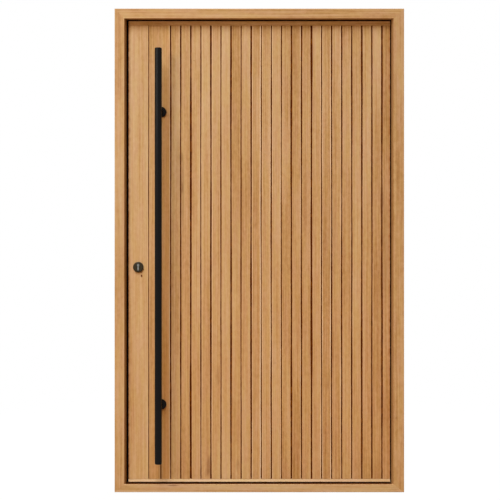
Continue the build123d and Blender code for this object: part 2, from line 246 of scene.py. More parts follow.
def turned(
    radii: np.ndarray, along: np.ndarray, foot: np.ndarray, axis: np.ndarray, around: int = 48
) -> np.ndarray:
    """Turn a profile round an axis: point = foot + along * axis + radius * (cos, sin) across it.

    Args:
        radii: The profile's radii.
        along: How far along the axis each radius is.
        foot: Where the axis starts.
        axis: Its direction.
        around: How many points a ring has.

    Returns:
        The rings, as stations by points by coordinates.
    """
    axis = np.asarray(axis, float) / np.linalg.norm(axis)
    helper = np.array([0.0, 0.0, 1.0]) if abs(axis[2]) < 0.9 else np.array([1.0, 0.0, 0.0])
    across = np.cross(axis, helper)
    across /= np.linalg.norm(across)
    upward = np.cross(axis, across)
    angle = full_turn(around, 0.0)
    spokes = np.outer(np.cos(angle), across) + np.outer(np.sin(angle), upward)
    centres = np.asarray(foot, float) + np.outer(along, axis)
    return centres[:, None, :] + radii[:, None, None] * spokes[None, :, :]


def rounded_edge(radius: float, steps: int = 6) -> tuple[np.ndarray, np.ndarray]:
    """Work out a quarter circle that eases an edge, from the side round to the end.

    Args:
        radius: The circle's radius.
        steps: How many points it has.

    Returns:
        How far each point is set in from the side, and how far it is from the end.
    """
    angle = np.linspace(0, math.pi / 2, steps)
    return radius * (1 - np.cos(angle)), radius * (1 - np.sin(angle))


@dataclass(frozen=True)
class Noise:
    """A noise pattern, stretched along the axes.

    Attributes:
        waves: Waves per metre along each axis.
        detail: How many octaves finer it goes.
        rough: How strong the finer octaves are.
    """

    waves: Triple
    detail: float = 2.0
    rough: float = 0.5


class NodeSheet:
    """A material's nodes, with short calls for those that the finishes use."""

    def __init__(self, name: str) -> None:
        """Start a material with one Principled shader.

        Args:
            name: The material's name.
        """
        self.material = bpy.data.materials.new(name)
        self.material.use_nodes = True
        self.tree = self.material.node_tree
        self.shader = self.tree.nodes["Principled BSDF"]

    def add(self, kind: str, **settings: object) -> bpy.types.Node:
        """Add a node of a kind and set its properties.

        Args:
            kind: The node's type.
            settings: Its properties, by name.

        Returns:
            The node.
        """
        node = self.tree.nodes.new(kind)
        for name, value in settings.items():
            setattr(node, name, value)
        return node

    def feed(self, socket: Socket, value: object) -> None:
        """Give a socket a link, if the value is a socket, or else a constant.

        Args:
            socket: The input.
            value: What it gets.
        """
        if isinstance(value, bpy.types.NodeSocket):
            self.tree.links.new(value, socket)
        elif isinstance(value, tuple) and len(value) == 3 and socket.type == "RGBA":
            socket.default_value = (*value, 1.0)
        else:
            socket.default_value = value

    def calc(self, operation: str, first: object, second: object = 0.0, third: object = 0.0) -> Socket:
        """Add a Math node.

        Args:
            operation: What it works out.
            first: Its first value, as a socket or a number.
            second: Its second value.
            third: Its third value.

        Returns:
            The result.
        """
        node = self.add("ShaderNodeMath", operation=operation)
        for socket, value in zip(node.inputs, (first, second, third), strict=False):
            self.feed(socket, value)
        return node.outputs[0]

    def vector(self, operation: str, first: object, second: object) -> Socket:
        """Add a Vector Math node that gives a vector.

        Args:
            operation: What it works out.
            first: Its first vector, as a socket or three numbers.
            second: Its second vector.

        Returns:
            The result.
        """
        node = self.add("ShaderNodeVectorMath", operation=operation)
        self.feed(node.inputs[0], first)
        self.feed(node.inputs[1], second)
        return node.outputs[0]

    def length(self, value: Socket) -> Socket:
        """Add a Vector Math node that gives a vector's length.

        Args:
            value: The vector.

        Returns:
            Its length.
        """
        node = self.add("ShaderNodeVectorMath", operation="LENGTH")
        self.feed(node.inputs[0], value)
        return node.outputs["Value"]

    def noise(self, where: Socket, pattern: Noise) -> Socket:
        """Add a noise of a pattern, read at a place in metres.

        Args:
            where: The place.
            pattern: The noise's waves, detail and roughness.

        Returns:
            Its value, about one half on average.
        """
        node = self.add("ShaderNodeTexNoise")
        self.feed(node.inputs["Vector"], self.vector("MULTIPLY", where, pattern.waves))
        node.inputs["Scale"].default_value = 1.0
        node.inputs["Detail"].default_value = pattern.detail
        node.inputs["Roughness"].default_value = pattern.rough
        return node.outputs[0]

    def spread(
        self, value: Socket, low: float, high: float, to_low: float = 0.0, to_high: float = 1.0
    ) -> Socket:
        """Add a smooth Map Range from low and high to two other numbers.

        Args:
            value: What is spread.
            low: Where the rise starts.
            high: Where it ends.
            to_low: What it gives up to its start.
            to_high: What it gives past its end.

        Returns:
            The spread value.
        """
        node = self.add("ShaderNodeMapRange", interpolation_type="SMOOTHSTEP")
        for name, number in zip(
            ("From Min", "From Max", "To Min", "To Max"), (low, high, to_low, to_high), strict=True
        ):
            node.inputs[name].default_value = number
        self.feed(node.inputs["Value"], value)
        return node.outputs["Result"]

    def mix(self, share: object, first: object, second: object, blend: str = "MIX") -> Socket:
        """Add a Mix node for colours, which are its inputs 6 and 7 and its output 2.

        Args:
            share: How much of the second colour there is.
            first: The first colour.
            second: The second colour.
            blend: The way they are mixed.

        Returns:
            The mixed colour.
        """
        node = self.add("ShaderNodeMix", data_type="RGBA", blend_type=blend)
        self.feed(node.inputs["Factor"], share)
        self.feed(node.inputs[6], first)
        self.feed(node.inputs[7], second)
        return node.outputs[2]

    def ramp(self, value: Socket, stops: Sequence[tuple[float, Colour]]) -> Socket:
        """Add a Color Ramp.

        Args:
            value: The place on the ramp.
            stops: The ramp's places with their colours.

        Returns:
            The colour at that place.
        """
        node = self.add("ShaderNodeValToRGB")
        band = node.color_ramp
        while len(band.elements) < len(stops):
            band.elements.new(1.0)
        for element, (place, colour) in zip(band.elements, stops, strict=True):
            element.position = place
            element.color = (*colour, 1.0)
        self.feed(node.inputs[0], value)
        return node.outputs[0]

    def attribute(self, name: str) -> Socket:
        """Read a number that the mesh carries."""
        return self.add("ShaderNodeAttribute", attribute_name=name).outputs["Fac"]

    def bump(self, height: Socket, depth: float, strength: float) -> None:
        """Give the shader a fine relief.

        Args:
            height: The relief's pattern.
            depth: How deep it is, in metres.
            strength: How strongly it shows.
        """
        node = self.add("ShaderNodeBump")
        node.inputs["Strength"].default_value = strength
        node.inputs["Distance"].default_value = depth
        self.feed(node.inputs["Height"], height)
        self.feed(self.shader.inputs["Normal"], node.outputs[0])


@dataclass(frozen=True)
class Mark:
    """A knot or a patch of wild grain: an oval that darkens the timber.

    Attributes:
        x: Its middle, to the right.
        z: Its middle, upwards.
        half_width: Half its width.
        half_height: Half its height.
        strength: How dark it is, up to 1.
    """

    x: float
    z: float
    half_width: float
    half_height: float
    strength: float


@dataclass(frozen=True)
class TimberColours:
    """The colours of oiled timber, and its painted shade and highlight, in linear light. A cast
    multiplies what lies under it.

    Attributes:
        tones: The ramp from dark to pale timber, as places on it with their colours.
        hue_casts: The two casts between which the hue drifts.
        painted_shadow_cast: A painted warm shadow, laid on a board's side beside the pull bar.
        foot_cast: The cast at the door's foot.
        painted_recess_shade_cast: The colour of the painted shade in the reveals' recess.
        pore: The fine pores.
        knot: Knots and wild patches.
        arris: The painted highlight on the eased edges.
        groove_lip_shade: The painted shade on the upper part of a groove's wall.
        groove: The painted shade deep in a groove.
    """

    tones: tuple[tuple[float, Colour], ...] = (
        (0.10, linear(135, 88, 46)),
        (0.34, linear(178, 131, 82)),
        (0.52, linear(198, 154, 108)),
        (0.74, linear(208, 171, 129)),
        (0.96, linear(222, 188, 150)),
    )
    hue_casts: tuple[Colour, Colour] = ((1.0, 0.975, 1.0), (0.988, 1.0, 0.87))
    painted_shadow_cast: Colour = (1.05, 0.93, 0.73)
    foot_cast: Colour = (1.01, 0.905, 0.785)
    painted_recess_shade_cast: Colour = (0.5, 0.4, 0.26)
    pore: Colour = linear(120, 74, 36)
    knot: Colour = linear(96, 40, 0)
    arris: Colour = linear(236, 198, 156)
    groove_lip_shade: Colour = linear(150, 76, 4)
    groove: Colour = linear(92, 34, 0)


@dataclass(frozen=True)
class TimberFinish:
    """Oiled timber with straight grain: slow tone, streaks, growth lines, fibres, mottle, pores.

    Its meshes may carry these numbers: board picks the length of grain, tint lightens it by
    tint_weight a step, and also carries painted shade under the head and painted light in the
    pull bar's shadow; warm lays on the painted warm shadow, arris the painted highlight on the
    eased edges, and shade the two colours of the painted shade in a groove.

    Attributes:
        name: The material's name.
        grain: The way the grain runs.
        shift: Moves the pattern, so that members differ.
        lift: Brightens the whole finish a little, or darkens it.
        marks: Knots and wild patches.
        figure: How strongly the streaks show.
        foot_warmth: How much warmer and darker the finish is at the door's foot, up to 1.
        foot_warmth_top: The height at which that has faded away.
        painted_recess_shade: How dark the painted shade is in the reveals' recess, behind the frame's
            front.
        painted_recess_shade_start: The share of that painted shade at the front.
        painted_recess_shade_run: The depths in y between which that painted shade grows.
        painted_recess_shade_box: The space that it keeps to, as a middle and a half length for each
            axis.
        colours: The timber's colours.
        slow: The slow drift of the tone.
        streak: The streaks along the grain.
        fibre: The fine fibres.
        mottle: The short mottle across them.
        pore: The pores.
        warp: What bends the growth lines.
        patch: Where the growth lines show.
        hue: The drift of the hue.
        soil: The uneven dirt and painted shade in the grooves.
        board_hop: How far the pattern moves along each axis from board to board.
        ring_waves: Growth lines per metre across the grain, to the right and inwards.
        ring_warp: How many lines the warp moves them by.
        slow_weight: How much of the tone is the slow drift.
        streak_weight: How much is the streaks, at a figure of 1.
        fibre_weight: How much is the fibres.
        mottle_weight: How much is the mottle.
        growth_weight: How much the growth lines darken it.
        tint_weight: How much one step of tint lightens it.
        growth_mean: The share of the timber that the lines darken, which the tone makes up for.
        pore_strength: How dark the pores are.
        fibre_rise: Where the fibre noise starts and stops to change the roughness.
        roughness: The roughness at those two ends.
        pore_rise: Where the pore noise starts to give a pore, and where that is full.
        patch_rise: The same for the patches with growth lines.
        hue_rise: Where the hue noise gives the first cast, and where the second.
        mark_fade: Where a mark starts to fade, and where it ends, as shares of its half length.
        soil_rise: Where the soil noise starts and stops to rise.
        soil_swing: What it multiplies a groove's painted shade by at those two ends.
        lip_rise: The shades between which the groove lip's painted shade colour comes in.
        groove_rise: The same for the painted shade colour deep in the groove.
        specular: How strongly the oil reflects, 0.5 as glass does.
        relief: How deep the grain is, in metres.
        relief_strength: How strongly that relief shows.
        pore_depth: How deep a pore is in that relief.
    """

    name: str
    grain: Grain = Grain.UPRIGHT
    shift: Triple = (0.0, 0.0, 0.0)
    lift: float = 0.0
    marks: tuple[Mark, ...] = ()
    figure: float = 1.0
    foot_warmth: float = 1.0
    foot_warmth_top: float = 2.2
    painted_recess_shade: float = 0.0
    painted_recess_shade_start: float = 0.35
    painted_recess_shade_run: tuple[float, float] = (-59.5 * MM, -30.0 * MM)
    painted_recess_shade_box: tuple[tuple[float, float], ...] = (
        (0.0, 630.0 * MM), (-29.75 * MM, 29.75 * MM), (1102.5 * MM, 1072.5 * MM)
    )
    colours: TimberColours = TimberColours()
    slow: Noise = Noise((14.0, 14.0, 1.1))
    streak: Noise = Noise((130.0, 130.0, 1.7), 3.0, 0.62)
    fibre: Noise = Noise((620.0, 620.0, 8.0), 3.0, 0.6)
    mottle: Noise = Noise((75.0, 75.0, 42.0), 2.0, 0.6)
    pore: Noise = Noise((1900.0, 1900.0, 55.0), 1.0)
    warp: Noise = Noise((9.0, 9.0, 0.75))
    patch: Noise = Noise((17.0, 17.0, 2.1), 1.0)
    hue: Noise = Noise((38.0, 38.0, 7.0), 2.0, 0.55)
    soil: Noise = Noise((60.0, 60.0, 34.0), 3.0, 0.6)
    board_hop: Triple = (3.1, 7.7, 19.3)
    ring_waves: tuple[float, float] = (190.0, 90.0)
    ring_warp: float = 9.0
    slow_weight: float = 0.55
    streak_weight: float = 0.62
    fibre_weight: float = 0.34
    mottle_weight: float = 0.3
    growth_weight: float = 0.10
    tint_weight: float = 0.11
    growth_mean: float = 0.1
    pore_strength: float = 0.30
    fibre_rise: tuple[float, float] = (0.3, 0.7)
    roughness: tuple[float, float] = (0.62, 0.5)
    pore_rise: tuple[float, float] = (0.66, 0.74)
    patch_rise: tuple[float, float] = (0.42, 0.66)
    hue_rise: tuple[float, float] = (0.3, 0.7)
    mark_fade: tuple[float, float] = (0.35, 1.0)
    soil_rise: tuple[float, float] = (0.36, 0.66)
    soil_swing: tuple[float, float] = (0.72, 1.34)
    lip_rise: tuple[float, float] = (0.0, 0.7)
    groove_rise: tuple[float, float] = (0.45, 1.0)
    specular: float = 0.05
    relief: float = 0.12 * MM
    relief_strength: float = 0.35
    pore_depth: float = 1.5

    def make(self) -> bpy.types.Material:
        """Build the material and return it."""
        sheet = NodeSheet(self.name)
        place = sheet.add("ShaderNodeTexCoord").outputs["Object"]
        where = self.along_grain(sheet, place)
        fibre = sheet.noise(where, self.fibre)
        growth = self.growth_lines(sheet, where)
        pores = sheet.noise(where, self.pore)
        pores = sheet.spread(pores, *self.pore_rise, to_high=self.pore_strength)
        colour = sheet.ramp(self.tone(sheet, where, fibre, growth), self.colours.tones)
        colour = self.with_casts(sheet, place, where, colour)
        colour = sheet.mix(pores, colour, self.colours.pore)
        colour = self.with_marks(sheet, place, colour)
        colour = self.with_edges(sheet, where, colour)
        sheet.feed(sheet.shader.inputs["Base Color"], colour)
        rough = sheet.spread(fibre, *self.fibre_rise, *self.roughness)
        sheet.feed(sheet.shader.inputs["Roughness"], rough)
        sheet.shader.inputs["Specular IOR Level"].default_value = self.specular
        relief = sheet.calc("ADD", fibre, growth)
        relief = sheet.calc("MULTIPLY_ADD", pores, -self.pore_depth, relief)
        sheet.bump(relief, self.relief, self.relief_strength)
        return sheet.material

    def along_grain(self, sheet: NodeSheet, place: Socket) -> Socket:
        """Turn the pattern's place to the grain, and move it on from board to board.

        Args:
            sheet: The material's nodes.
            place: The place on the object.

        Returns:
            The place in the pattern, with the grain along z.
        """
        turn = sheet.add("ShaderNodeMapping")
        turn.inputs["Location"].default_value = self.shift
        if self.grain is Grain.LEVEL:
            turn.inputs["Rotation"].default_value = (0.0, math.pi / 2, 0.0)
        sheet.feed(turn.inputs["Vector"], place)
        board = sheet.attribute("board")
        hop = sheet.add("ShaderNodeCombineXYZ")
        for axis, stride in enumerate(self.board_hop):
            sheet.feed(hop.inputs[axis], sheet.calc("MULTIPLY", board, stride))
        return sheet.vector("ADD", turn.outputs[0], hop.outputs[0])

    def growth_lines(self, sheet: NodeSheet, where: Socket) -> Socket:
        """Draw growth lines: fract(waves * place + warp) ** 3, where the patches let them show.

        Args:
            sheet: The material's nodes.
            where: The place in the pattern.

        Returns:
            How strong a line is there, up to 1.
        """
        split = sheet.add("ShaderNodeSeparateXYZ")
        sheet.feed(split.inputs[0], where)
        drift = sheet.calc("MULTIPLY", split.outputs[0], self.ring_waves[0])
        drift = sheet.calc("MULTIPLY_ADD", sheet.noise(where, self.warp), self.ring_warp, drift)
        drift = sheet.calc("MULTIPLY_ADD", split.outputs[1], self.ring_waves[1], drift)
        line = sheet.calc("POWER", sheet.calc("FRACT", drift), 3.0)
        patches = sheet.spread(sheet.noise(where, self.patch), *self.patch_rise)
        return sheet.calc("MULTIPLY", line, patches)

    def tone(self, sheet: NodeSheet, where: Socket, fibre: Socket, growth: Socket) -> Socket:
        """Add up the tone: 0.5 + lift + the sum of weight * (noise - 0.5), lines and tint.

        Args:
            sheet: The material's nodes.
            where: The place in the pattern.
            fibre: The fibres there.
            growth: The growth lines there.

        Returns:
            The place on the ramp of tones.
        """
        level = 0.5 - self.slow_weight / 2 + self.lift
        tone = sheet.calc("MULTIPLY_ADD", sheet.noise(where, self.slow), self.slow_weight, level)
        for noise, weight in (
            (sheet.noise(where, self.streak), self.streak_weight * self.figure),
            (fibre, self.fibre_weight),
            (sheet.noise(where, self.mottle), self.mottle_weight),
        ):
            tone = sheet.calc("MULTIPLY_ADD", noise, weight, sheet.calc("SUBTRACT", tone, weight / 2))
        tone = sheet.calc("ADD", tone, self.growth_mean * self.growth_weight)
        tone = sheet.calc("MULTIPLY_ADD", growth, -self.growth_weight, tone)
        return sheet.calc("MULTIPLY_ADD", sheet.attribute("tint"), self.tint_weight, tone)

    def with_casts(self, sheet: NodeSheet, place: Socket, where: Socket, colour: Socket) -> Socket:
        """Lay the casts over a colour: hue, painted warm shadow, the door's foot, painted recess shade.

        Args:
            sheet: The material's nodes.
            place: The place on the object.
            where: The place in the pattern.
            colour: The colour so far.

        Returns:
            The colour with its casts.
        """
        hue = sheet.spread(sheet.noise(where, self.hue), *self.hue_rise)
        cast = sheet.mix(hue, *self.colours.hue_casts)
        colour = sheet.mix(1.0, colour, cast, "MULTIPLY")
        # warm paints a warm shadow on the bar board's right side, inside the pull bar's shadow.
        colour = sheet.mix(sheet.attribute("warm"), colour, self.colours.painted_shadow_cast, "MULTIPLY")
        split = sheet.add("ShaderNodeSeparateXYZ")
        sheet.feed(split.inputs[0], place)
        low = sheet.spread(split.outputs[2], 0.0, self.foot_warmth_top, self.foot_warmth, 0.0)
        colour = sheet.mix(low, colour, self.colours.foot_cast, "MULTIPLY")
        # Painted shade in the reveals' recess: darker the deeper it lies behind the frame's front.
        if self.painted_recess_shade > 0:
            first = self.painted_recess_shade_start * self.painted_recess_shade
            deep = sheet.spread(split.outputs[1], *self.painted_recess_shade_run, first, self.painted_recess_shade)
            for axis, (middle, half) in enumerate(self.painted_recess_shade_box):
                within = sheet.calc("COMPARE", split.outputs[axis], middle, half)
                deep = sheet.calc("MULTIPLY", deep, within)
            colour = sheet.mix(deep, colour, self.colours.painted_recess_shade_cast, "MULTIPLY")
        return colour

    def with_marks(self, sheet: NodeSheet, place: Socket, colour: Socket) -> Socket:
        """Lay knots and wild patches over a colour, each an oval that fades towards its rim.

        Args:
            sheet: The material's nodes.
            place: The place on the object.
            colour: The colour so far.

        Returns:
            The colour with its marks.
        """
        for mark in self.marks:
            gap = sheet.vector("SUBTRACT", place, (mark.x, 0.0, mark.z))
            gap = sheet.vector("DIVIDE", gap, (mark.half_width, THROUGH, mark.half_height))
            reach = sheet.spread(sheet.length(gap), *self.mark_fade, mark.strength, 0.0)
            colour = sheet.mix(reach, colour, self.colours.knot)
        return colour

    def with_edges(self, sheet: NodeSheet, where: Socket, colour: Socket) -> Socket:
        """Lay the painted edge highlights and the grooves' uneven painted shade over a colour.

        Args:
            sheet: The material's nodes.
            where: The place in the pattern.
            colour: The colour so far.

        Returns:
            The colour with its edges.
        """
        # arris lays a painted highlight on the eased edges.
        colour = sheet.mix(sheet.attribute("arris"), colour, self.colours.arris)
        # The grooves' shade is painted, made uneven by a noise of dirt and shade.
        uneven = sheet.spread(sheet.noise(where, self.soil), *self.soil_rise, *self.soil_swing)
        shade = sheet.calc("MULTIPLY", sheet.attribute("shade"), uneven)
        colour = sheet.mix(sheet.spread(shade, *self.lip_rise), colour, self.colours.groove_lip_shade)
        return sheet.mix(sheet.spread(shade, *self.groove_rise), colour, self.colours.groove)


@dataclass(frozen=True)
class CoatedFinish:
    """Coated metal, bare metal or bristle, with a faint fine grain.

    Attributes:
        name: The material's name.
        colour: Its colour.
        metallic: 1 for bare metal and 0 for a coat.
        roughness: The mean roughness.
        grain: Waves per metre of its fine grain, for each axis.
        relief: How deep that grain is, in metres.
        specular: How strongly a coat reflects, 0.5 as glass does.
        relief_strength: How strongly its relief shows.
        grain_rise: Where the grain's noise starts and stops to change the roughness.
        unevenness: How far the roughness strays from its mean.
        wear: Where the coat is rubbed thin.
        wear_rise: Where that noise starts to show, and where it is full.
        worn_share: How bright the colour still is there.
        soiled_share: How bright it is where the mesh's soil is 1.
    """

    name: str
    colour: Colour
    metallic: float = 0.0
    roughness: float = 0.5
    grain: Triple = (1500.0, 1500.0, 1500.0)
    relief: float = 0.02 * MM
    specular: float = 0.5
    relief_strength: float = 0.5
    grain_rise: tuple[float, float] = (0.3, 0.7)
    unevenness: float = 0.06
    wear: Noise = Noise((26.0, 26.0, 9.0), 3.0, 0.6)
    wear_rise: tuple[float, float] = (0.35, 0.65)
    worn_share: float = 0.8
    soiled_share: float = 0.06

    def make(self) -> bpy.types.Material:
        """Build the material and return it."""
        sheet = NodeSheet(self.name)
        place = sheet.add("ShaderNodeTexCoord").outputs["Object"]
        fine = sheet.noise(place, Noise(self.grain, 2.0, 0.55))
        wear_and_shade = sheet.spread(sheet.noise(place, self.wear), *self.wear_rise)
        dark = tuple(self.worn_share * value for value in self.colour)
        soiled = tuple(self.soiled_share * value for value in self.colour)
        colour = sheet.mix(wear_and_shade, self.colour, dark)
        # On the lock cylinder this paints dirt and shade, and leaves a painted highlight down its stem.
        colour = sheet.mix(sheet.attribute("soil"), colour, soiled)
        sheet.feed(sheet.shader.inputs["Base Color"], colour)
        low, high = self.roughness - self.unevenness, self.roughness + self.unevenness
        rough = sheet.spread(fine, *self.grain_rise, low, high)
        sheet.feed(sheet.shader.inputs["Roughness"], rough)
        sheet.shader.inputs["Metallic"].default_value = self.metallic
        sheet.shader.inputs["Specular IOR Level"].default_value = self.specular
        sheet.bump(fine, self.relief, self.relief_strength)
        return sheet.material


def place_piece(
    piece: bpy.types.Object, material: bpy.types.Material, body: str, slot: str, *nodes: str
) -> None:
    """Dress a new piece and let it ride on its body in place of the solids it stands for.

    Args:
        piece: The new object.
        material: Its finish.
        body: The body that it moves with.
        slot: The record's material slot; not used.
        nodes: The solids that it replaces.
    """
    piece.data.materials.append(material)
    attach(piece, body)
    if nodes:
        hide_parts(*nodes)
    LOG.info("made %s: %d points on %s", piece.name, len(piece.data.vertices), body)


def dress_node(name: str, material: bpy.types.Material) -> None:
    """Give a solid that stays as it is its finish.

    Args:
        name: The node's name.
        material: Its finish.
    """
    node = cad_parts[name]
    node.data.materials.clear()
    node.data.materials.append(material)
    LOG.info("dressed %s with %s", name, material.name)


@dataclass
class LeafFace:
    """The boards on one face of the leaf: lock board, bar board and narrow boards.

    A board is one profile carried up the door: x = (1 - share) * left + share * right + offset,
    where left and right are the edges of its two grooves, which wander a little with height.

    Attributes:
        side: Outer or inner face.
        seed: Starts the random wander of edges and tints.
        finish: The boards' finish.
        tints: How much lighter or darker some boards are, by their number.
        falls: How much darker some boards get towards the foot, by their number.
        edges: How strong the painted highlight is on some boards' left and right eased edges, by their
        number.
        patterns: Which length of the grain some boards are cut from, by their number.
        bar_shadow_paint: How much some boards' right side is painted lighter and warmer, by their
        number: painted light and a painted warm cast inside the pull bar's shadow.
        lock_board_width: From the leaf's edge to the middle of the first groove.
        bar_board_width: Between the middles of the bar board's two grooves.
        blind_groove_inset: The groove routed down the bar board, from its first groove.
        blind_groove_top: Where that groove stops, behind the upper rose.
        blind_groove_gap: How wide it is.
        pitch: From groove to groove in the narrow boards.
        groove_depth: From a board's face to the lap behind it.
        board_thickness: From a board's face to its back.
        arris: How much each edge is eased.
        highlight_band: Where the painted highlight beside an eased edge starts, fades and ends.
        rim_shade: How much painted shade lies on the boards along the leaf's two upright edges.
        rim_reach: How fast that fades away from them.
        open_edge_shade: How dark the leaf's own upright edges are, set against a groove's walls.
        head_shadow: How much darker the boards' top is painted, as the head's shadow, in steps of tint.
        head_shadow_reach: How fast that painted shadow fades downwards.
        lap_reach: How far a board's lap passes its own edge, beyond the groove.
        lap_clearance: Play between a lap and the board over it.
        cup: How hollow a board's face is.
        first_gap: The width of the groove between the lock board and the bar board.
        gaps: The widths of the grooves from the bar board's far side on.
        stations: How many evenly spaced rings a board has.
        run_out: How long the blind groove's upper end is.
        stray: How far a groove wanders sideways.
        stray_period: The longest wave in that.
        swell: The share by which a groove's width wanders.
        swell_period: The longest wave in that.
        wall_shade: How much painted shade lies on a groove's wall, from its floor up round its eased
            edge and on over the highlight band.
        wall_highlight: How much of the painted highlight shows at the same points.
        plain_face: The shares of a board's width between which its face's points lie.
        split_face: The same on both sides of the blind groove.
        plain_highlights: How strong the painted highlight on the two eased edges is where edges doesn't
            say it.
        highlight_mean: How much of that shows on average.
        highlight_swing: How far that wanders up the door.
        highlight_period: The longest wave in that.
        set_back: How far a board's face may lie behind the leaf's face.
        tint_spread: How much the tints differ where tints doesn't say it.
        inner_patterns: How far the inner boards' lengths of grain are from the outer ones'.
        bar_shadow_power: The painted warm cast's share goes as (1 - rise) ** bar_shadow_power up the
            door.
        end_shade: How much painted shade lies on a board's eased ends, in the joints at the rails.
        end_highlight: How much painted highlight lies on them.
    """

    side: Side
    seed: int
    finish: TimberFinish
    tints: dict[int, float] = field(default_factory=dict)
    falls: dict[int, float] = field(default_factory=dict)
    edges: dict[int, tuple[float, float]] = field(default_factory=dict)
    patterns: dict[int, int] = field(default_factory=dict)
    bar_shadow_paint: dict[int, tuple[float, float]] = field(default_factory=dict)
    lock_board_width: float = 92.6 * MM
    bar_board_width: float = 100.9 * MM
    blind_groove_inset: float = 54.6 * MM
    blind_groove_top: float = 1737.0 * MM
    blind_groove_gap: Gap = Gap.TIGHT
    pitch: float = 46.14 * MM
    groove_depth: float = 7.0 * MM
    board_thickness: float = 14.0 * MM
    arris: float = 1.0 * MM
    highlight_band: tuple[float, ...] = (1.8 * MM, 3.8 * MM, 5.4 * MM)
    rim_shade: float = 0.42
    rim_reach: float = 8.0 * MM
    open_edge_shade: float = 0.22
    head_shadow: float = 0.9
    head_shadow_reach: float = 45.0 * MM
    lap_reach: float = 6.0 * MM
    lap_clearance: float = 0.2 * MM
    cup: float = 0.1 * MM
    first_gap: Gap = Gap.FINE
    gaps: tuple[Gap, ...] = (
        Gap.CLOSE, Gap.CLOSE, Gap.WIDE, Gap.TIGHT, Gap.OPEN, Gap.TIGHT, Gap.OPEN, Gap.TIGHT,
        Gap.OPEN, Gap.TIGHT, Gap.CLOSE, Gap.TIGHT, Gap.OPEN, Gap.CLOSE, Gap.WIDE, Gap.TIGHT,
        Gap.CLOSE, Gap.CLOSE, Gap.CLOSE, Gap.OPEN, Gap.CLOSE, Gap.OPEN,
    )
    stations: int = 60
    run_out: float = 6.0 * MM
    stray: float = 0.4 * MM
    stray_period: float = 1.9
    swell: float = 0.2
    swell_period: float = 1.3
    wall_shade: tuple[float, ...] = (1.0, 1.0, 0.95, 0.8, 0.6, 0.34, 0.02, 0.0, 0.0)
    wall_highlight: tuple[float, ...] = (0.0, 0.0, 0.0, 0.1, 0.3, 0.7, 1.0, 1.0, 0.0)
    plain_face: tuple[float, float] = (0.15, 0.85)
    split_face: tuple[tuple[float, float], ...] = ((0.15, 0.40), (0.68, 0.88))
    plain_highlights: tuple[float, float] = (0.1, 0.1)
    highlight_mean: float = 0.75
    highlight_swing: float = 0.3
    highlight_period: float = 0.8
    set_back: float = 0.12 * MM
    tint_spread: float = 0.35
    inner_patterns: int = 40
    bar_shadow_power: float = 0.3
    end_shade: float = 0.25
    end_highlight: float = 0.4

    def __post_init__(self) -> None:
        """Read the leaf's place from its solids and set the heights of the rings."""
        low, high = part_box(f"{self.side.value}_lock_board")
        self.lock_edge, foot, top = low[0], low[2], high[2]
        self.hinge_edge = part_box(f"{self.side.value}_boards")[1][0]
        self.first_pattern = 0 if self.side is Side.OUTER else self.inner_patterns
        self.rng = np.random.default_rng(self.seed)
        run = np.linspace(foot + self.arris, top - self.arris, self.stations)
        stop = self.blind_groove_top - np.array([self.run_out, 0.0])
        self.heights = np.sort(np.concatenate([[foot], run, stop, [top]]))
        self.end_drop = np.zeros_like(self.heights)
        self.end_drop[[0, -1]] = self.arris
        half_way = self.blind_groove_top - self.run_out / 2
        self.groove_here = np.where(self.heights < half_way, 1.0, 0.0)

    def grooves(self) -> list[tuple[np.ndarray, np.ndarray]]:
        """Work out each groove's two edges, which wander a little up the door.

        Returns:
            A pair of edges for each groove, each with one value for each height.
        """
        first = self.lock_edge + self.lock_board_width
        rest = first + self.bar_board_width + self.pitch * np.arange(len(self.gaps))
        pairs = []
        for middle, gap in zip([first, *rest], (self.first_gap, *self.gaps), strict=True):
            shift = wander(self.rng, self.heights, self.stray, self.stray_period)
            swell = wander(self.rng, self.heights, self.swell, self.swell_period)
            width = gap.value * MM * (1 + swell)
            pairs.append((middle + shift - width / 2, middle + shift + width / 2))
        return pairs

    def wall(self, share: float, offset: float, outwards: float, floor: float, cut: float) -> np.ndarray:
        """List a groove wall and its eased edge, from the floor up to the face.

        Args:
            share: 0 where it belongs to the board's left edge and 1 for the right one.
            offset: How far it is from that edge.
            outwards: 1 where the face lies to its right, and -1 to its left.
            floor: How deep the wall goes.
            cut: 1 for the blind groove, which is only there under the upper rose.

        Returns:
            Rows of share, offset, depth, shade, arris and cut.
        """
        inset, drop = rounded_edge(self.arris, 4)
        across = offset + outwards * np.concatenate([[0.0, 0.0], inset, self.highlight_band])
        depth = np.concatenate([[floor, floor / 2], drop, np.zeros(len(self.highlight_band))])
        shares, cuts = np.full_like(depth, share), np.full_like(depth, cut)
        columns = [shares, across, depth, self.wall_shade, self.wall_highlight, cuts]
        rows = np.stack(columns, axis=1)
        return rows if outwards > 0 else rows[::-1]

    def face_rows(self, start: float, end: float) -> np.ndarray:
        """List a face's points, where the hollow is 4 * cup * share * (1 - share) deep.

        Args:
            start: The share of the board's width where they start.
            end: The share where they end.

        Returns:
            Rows of share, offset, depth, shade, arris and cut.
        """
        share = np.linspace(start, end, 4)
        depth = self.cup * 4 * share * (1 - share)
        flat = np.zeros_like(share)
        return np.stack([share, flat, depth, flat, flat, flat], axis=1)

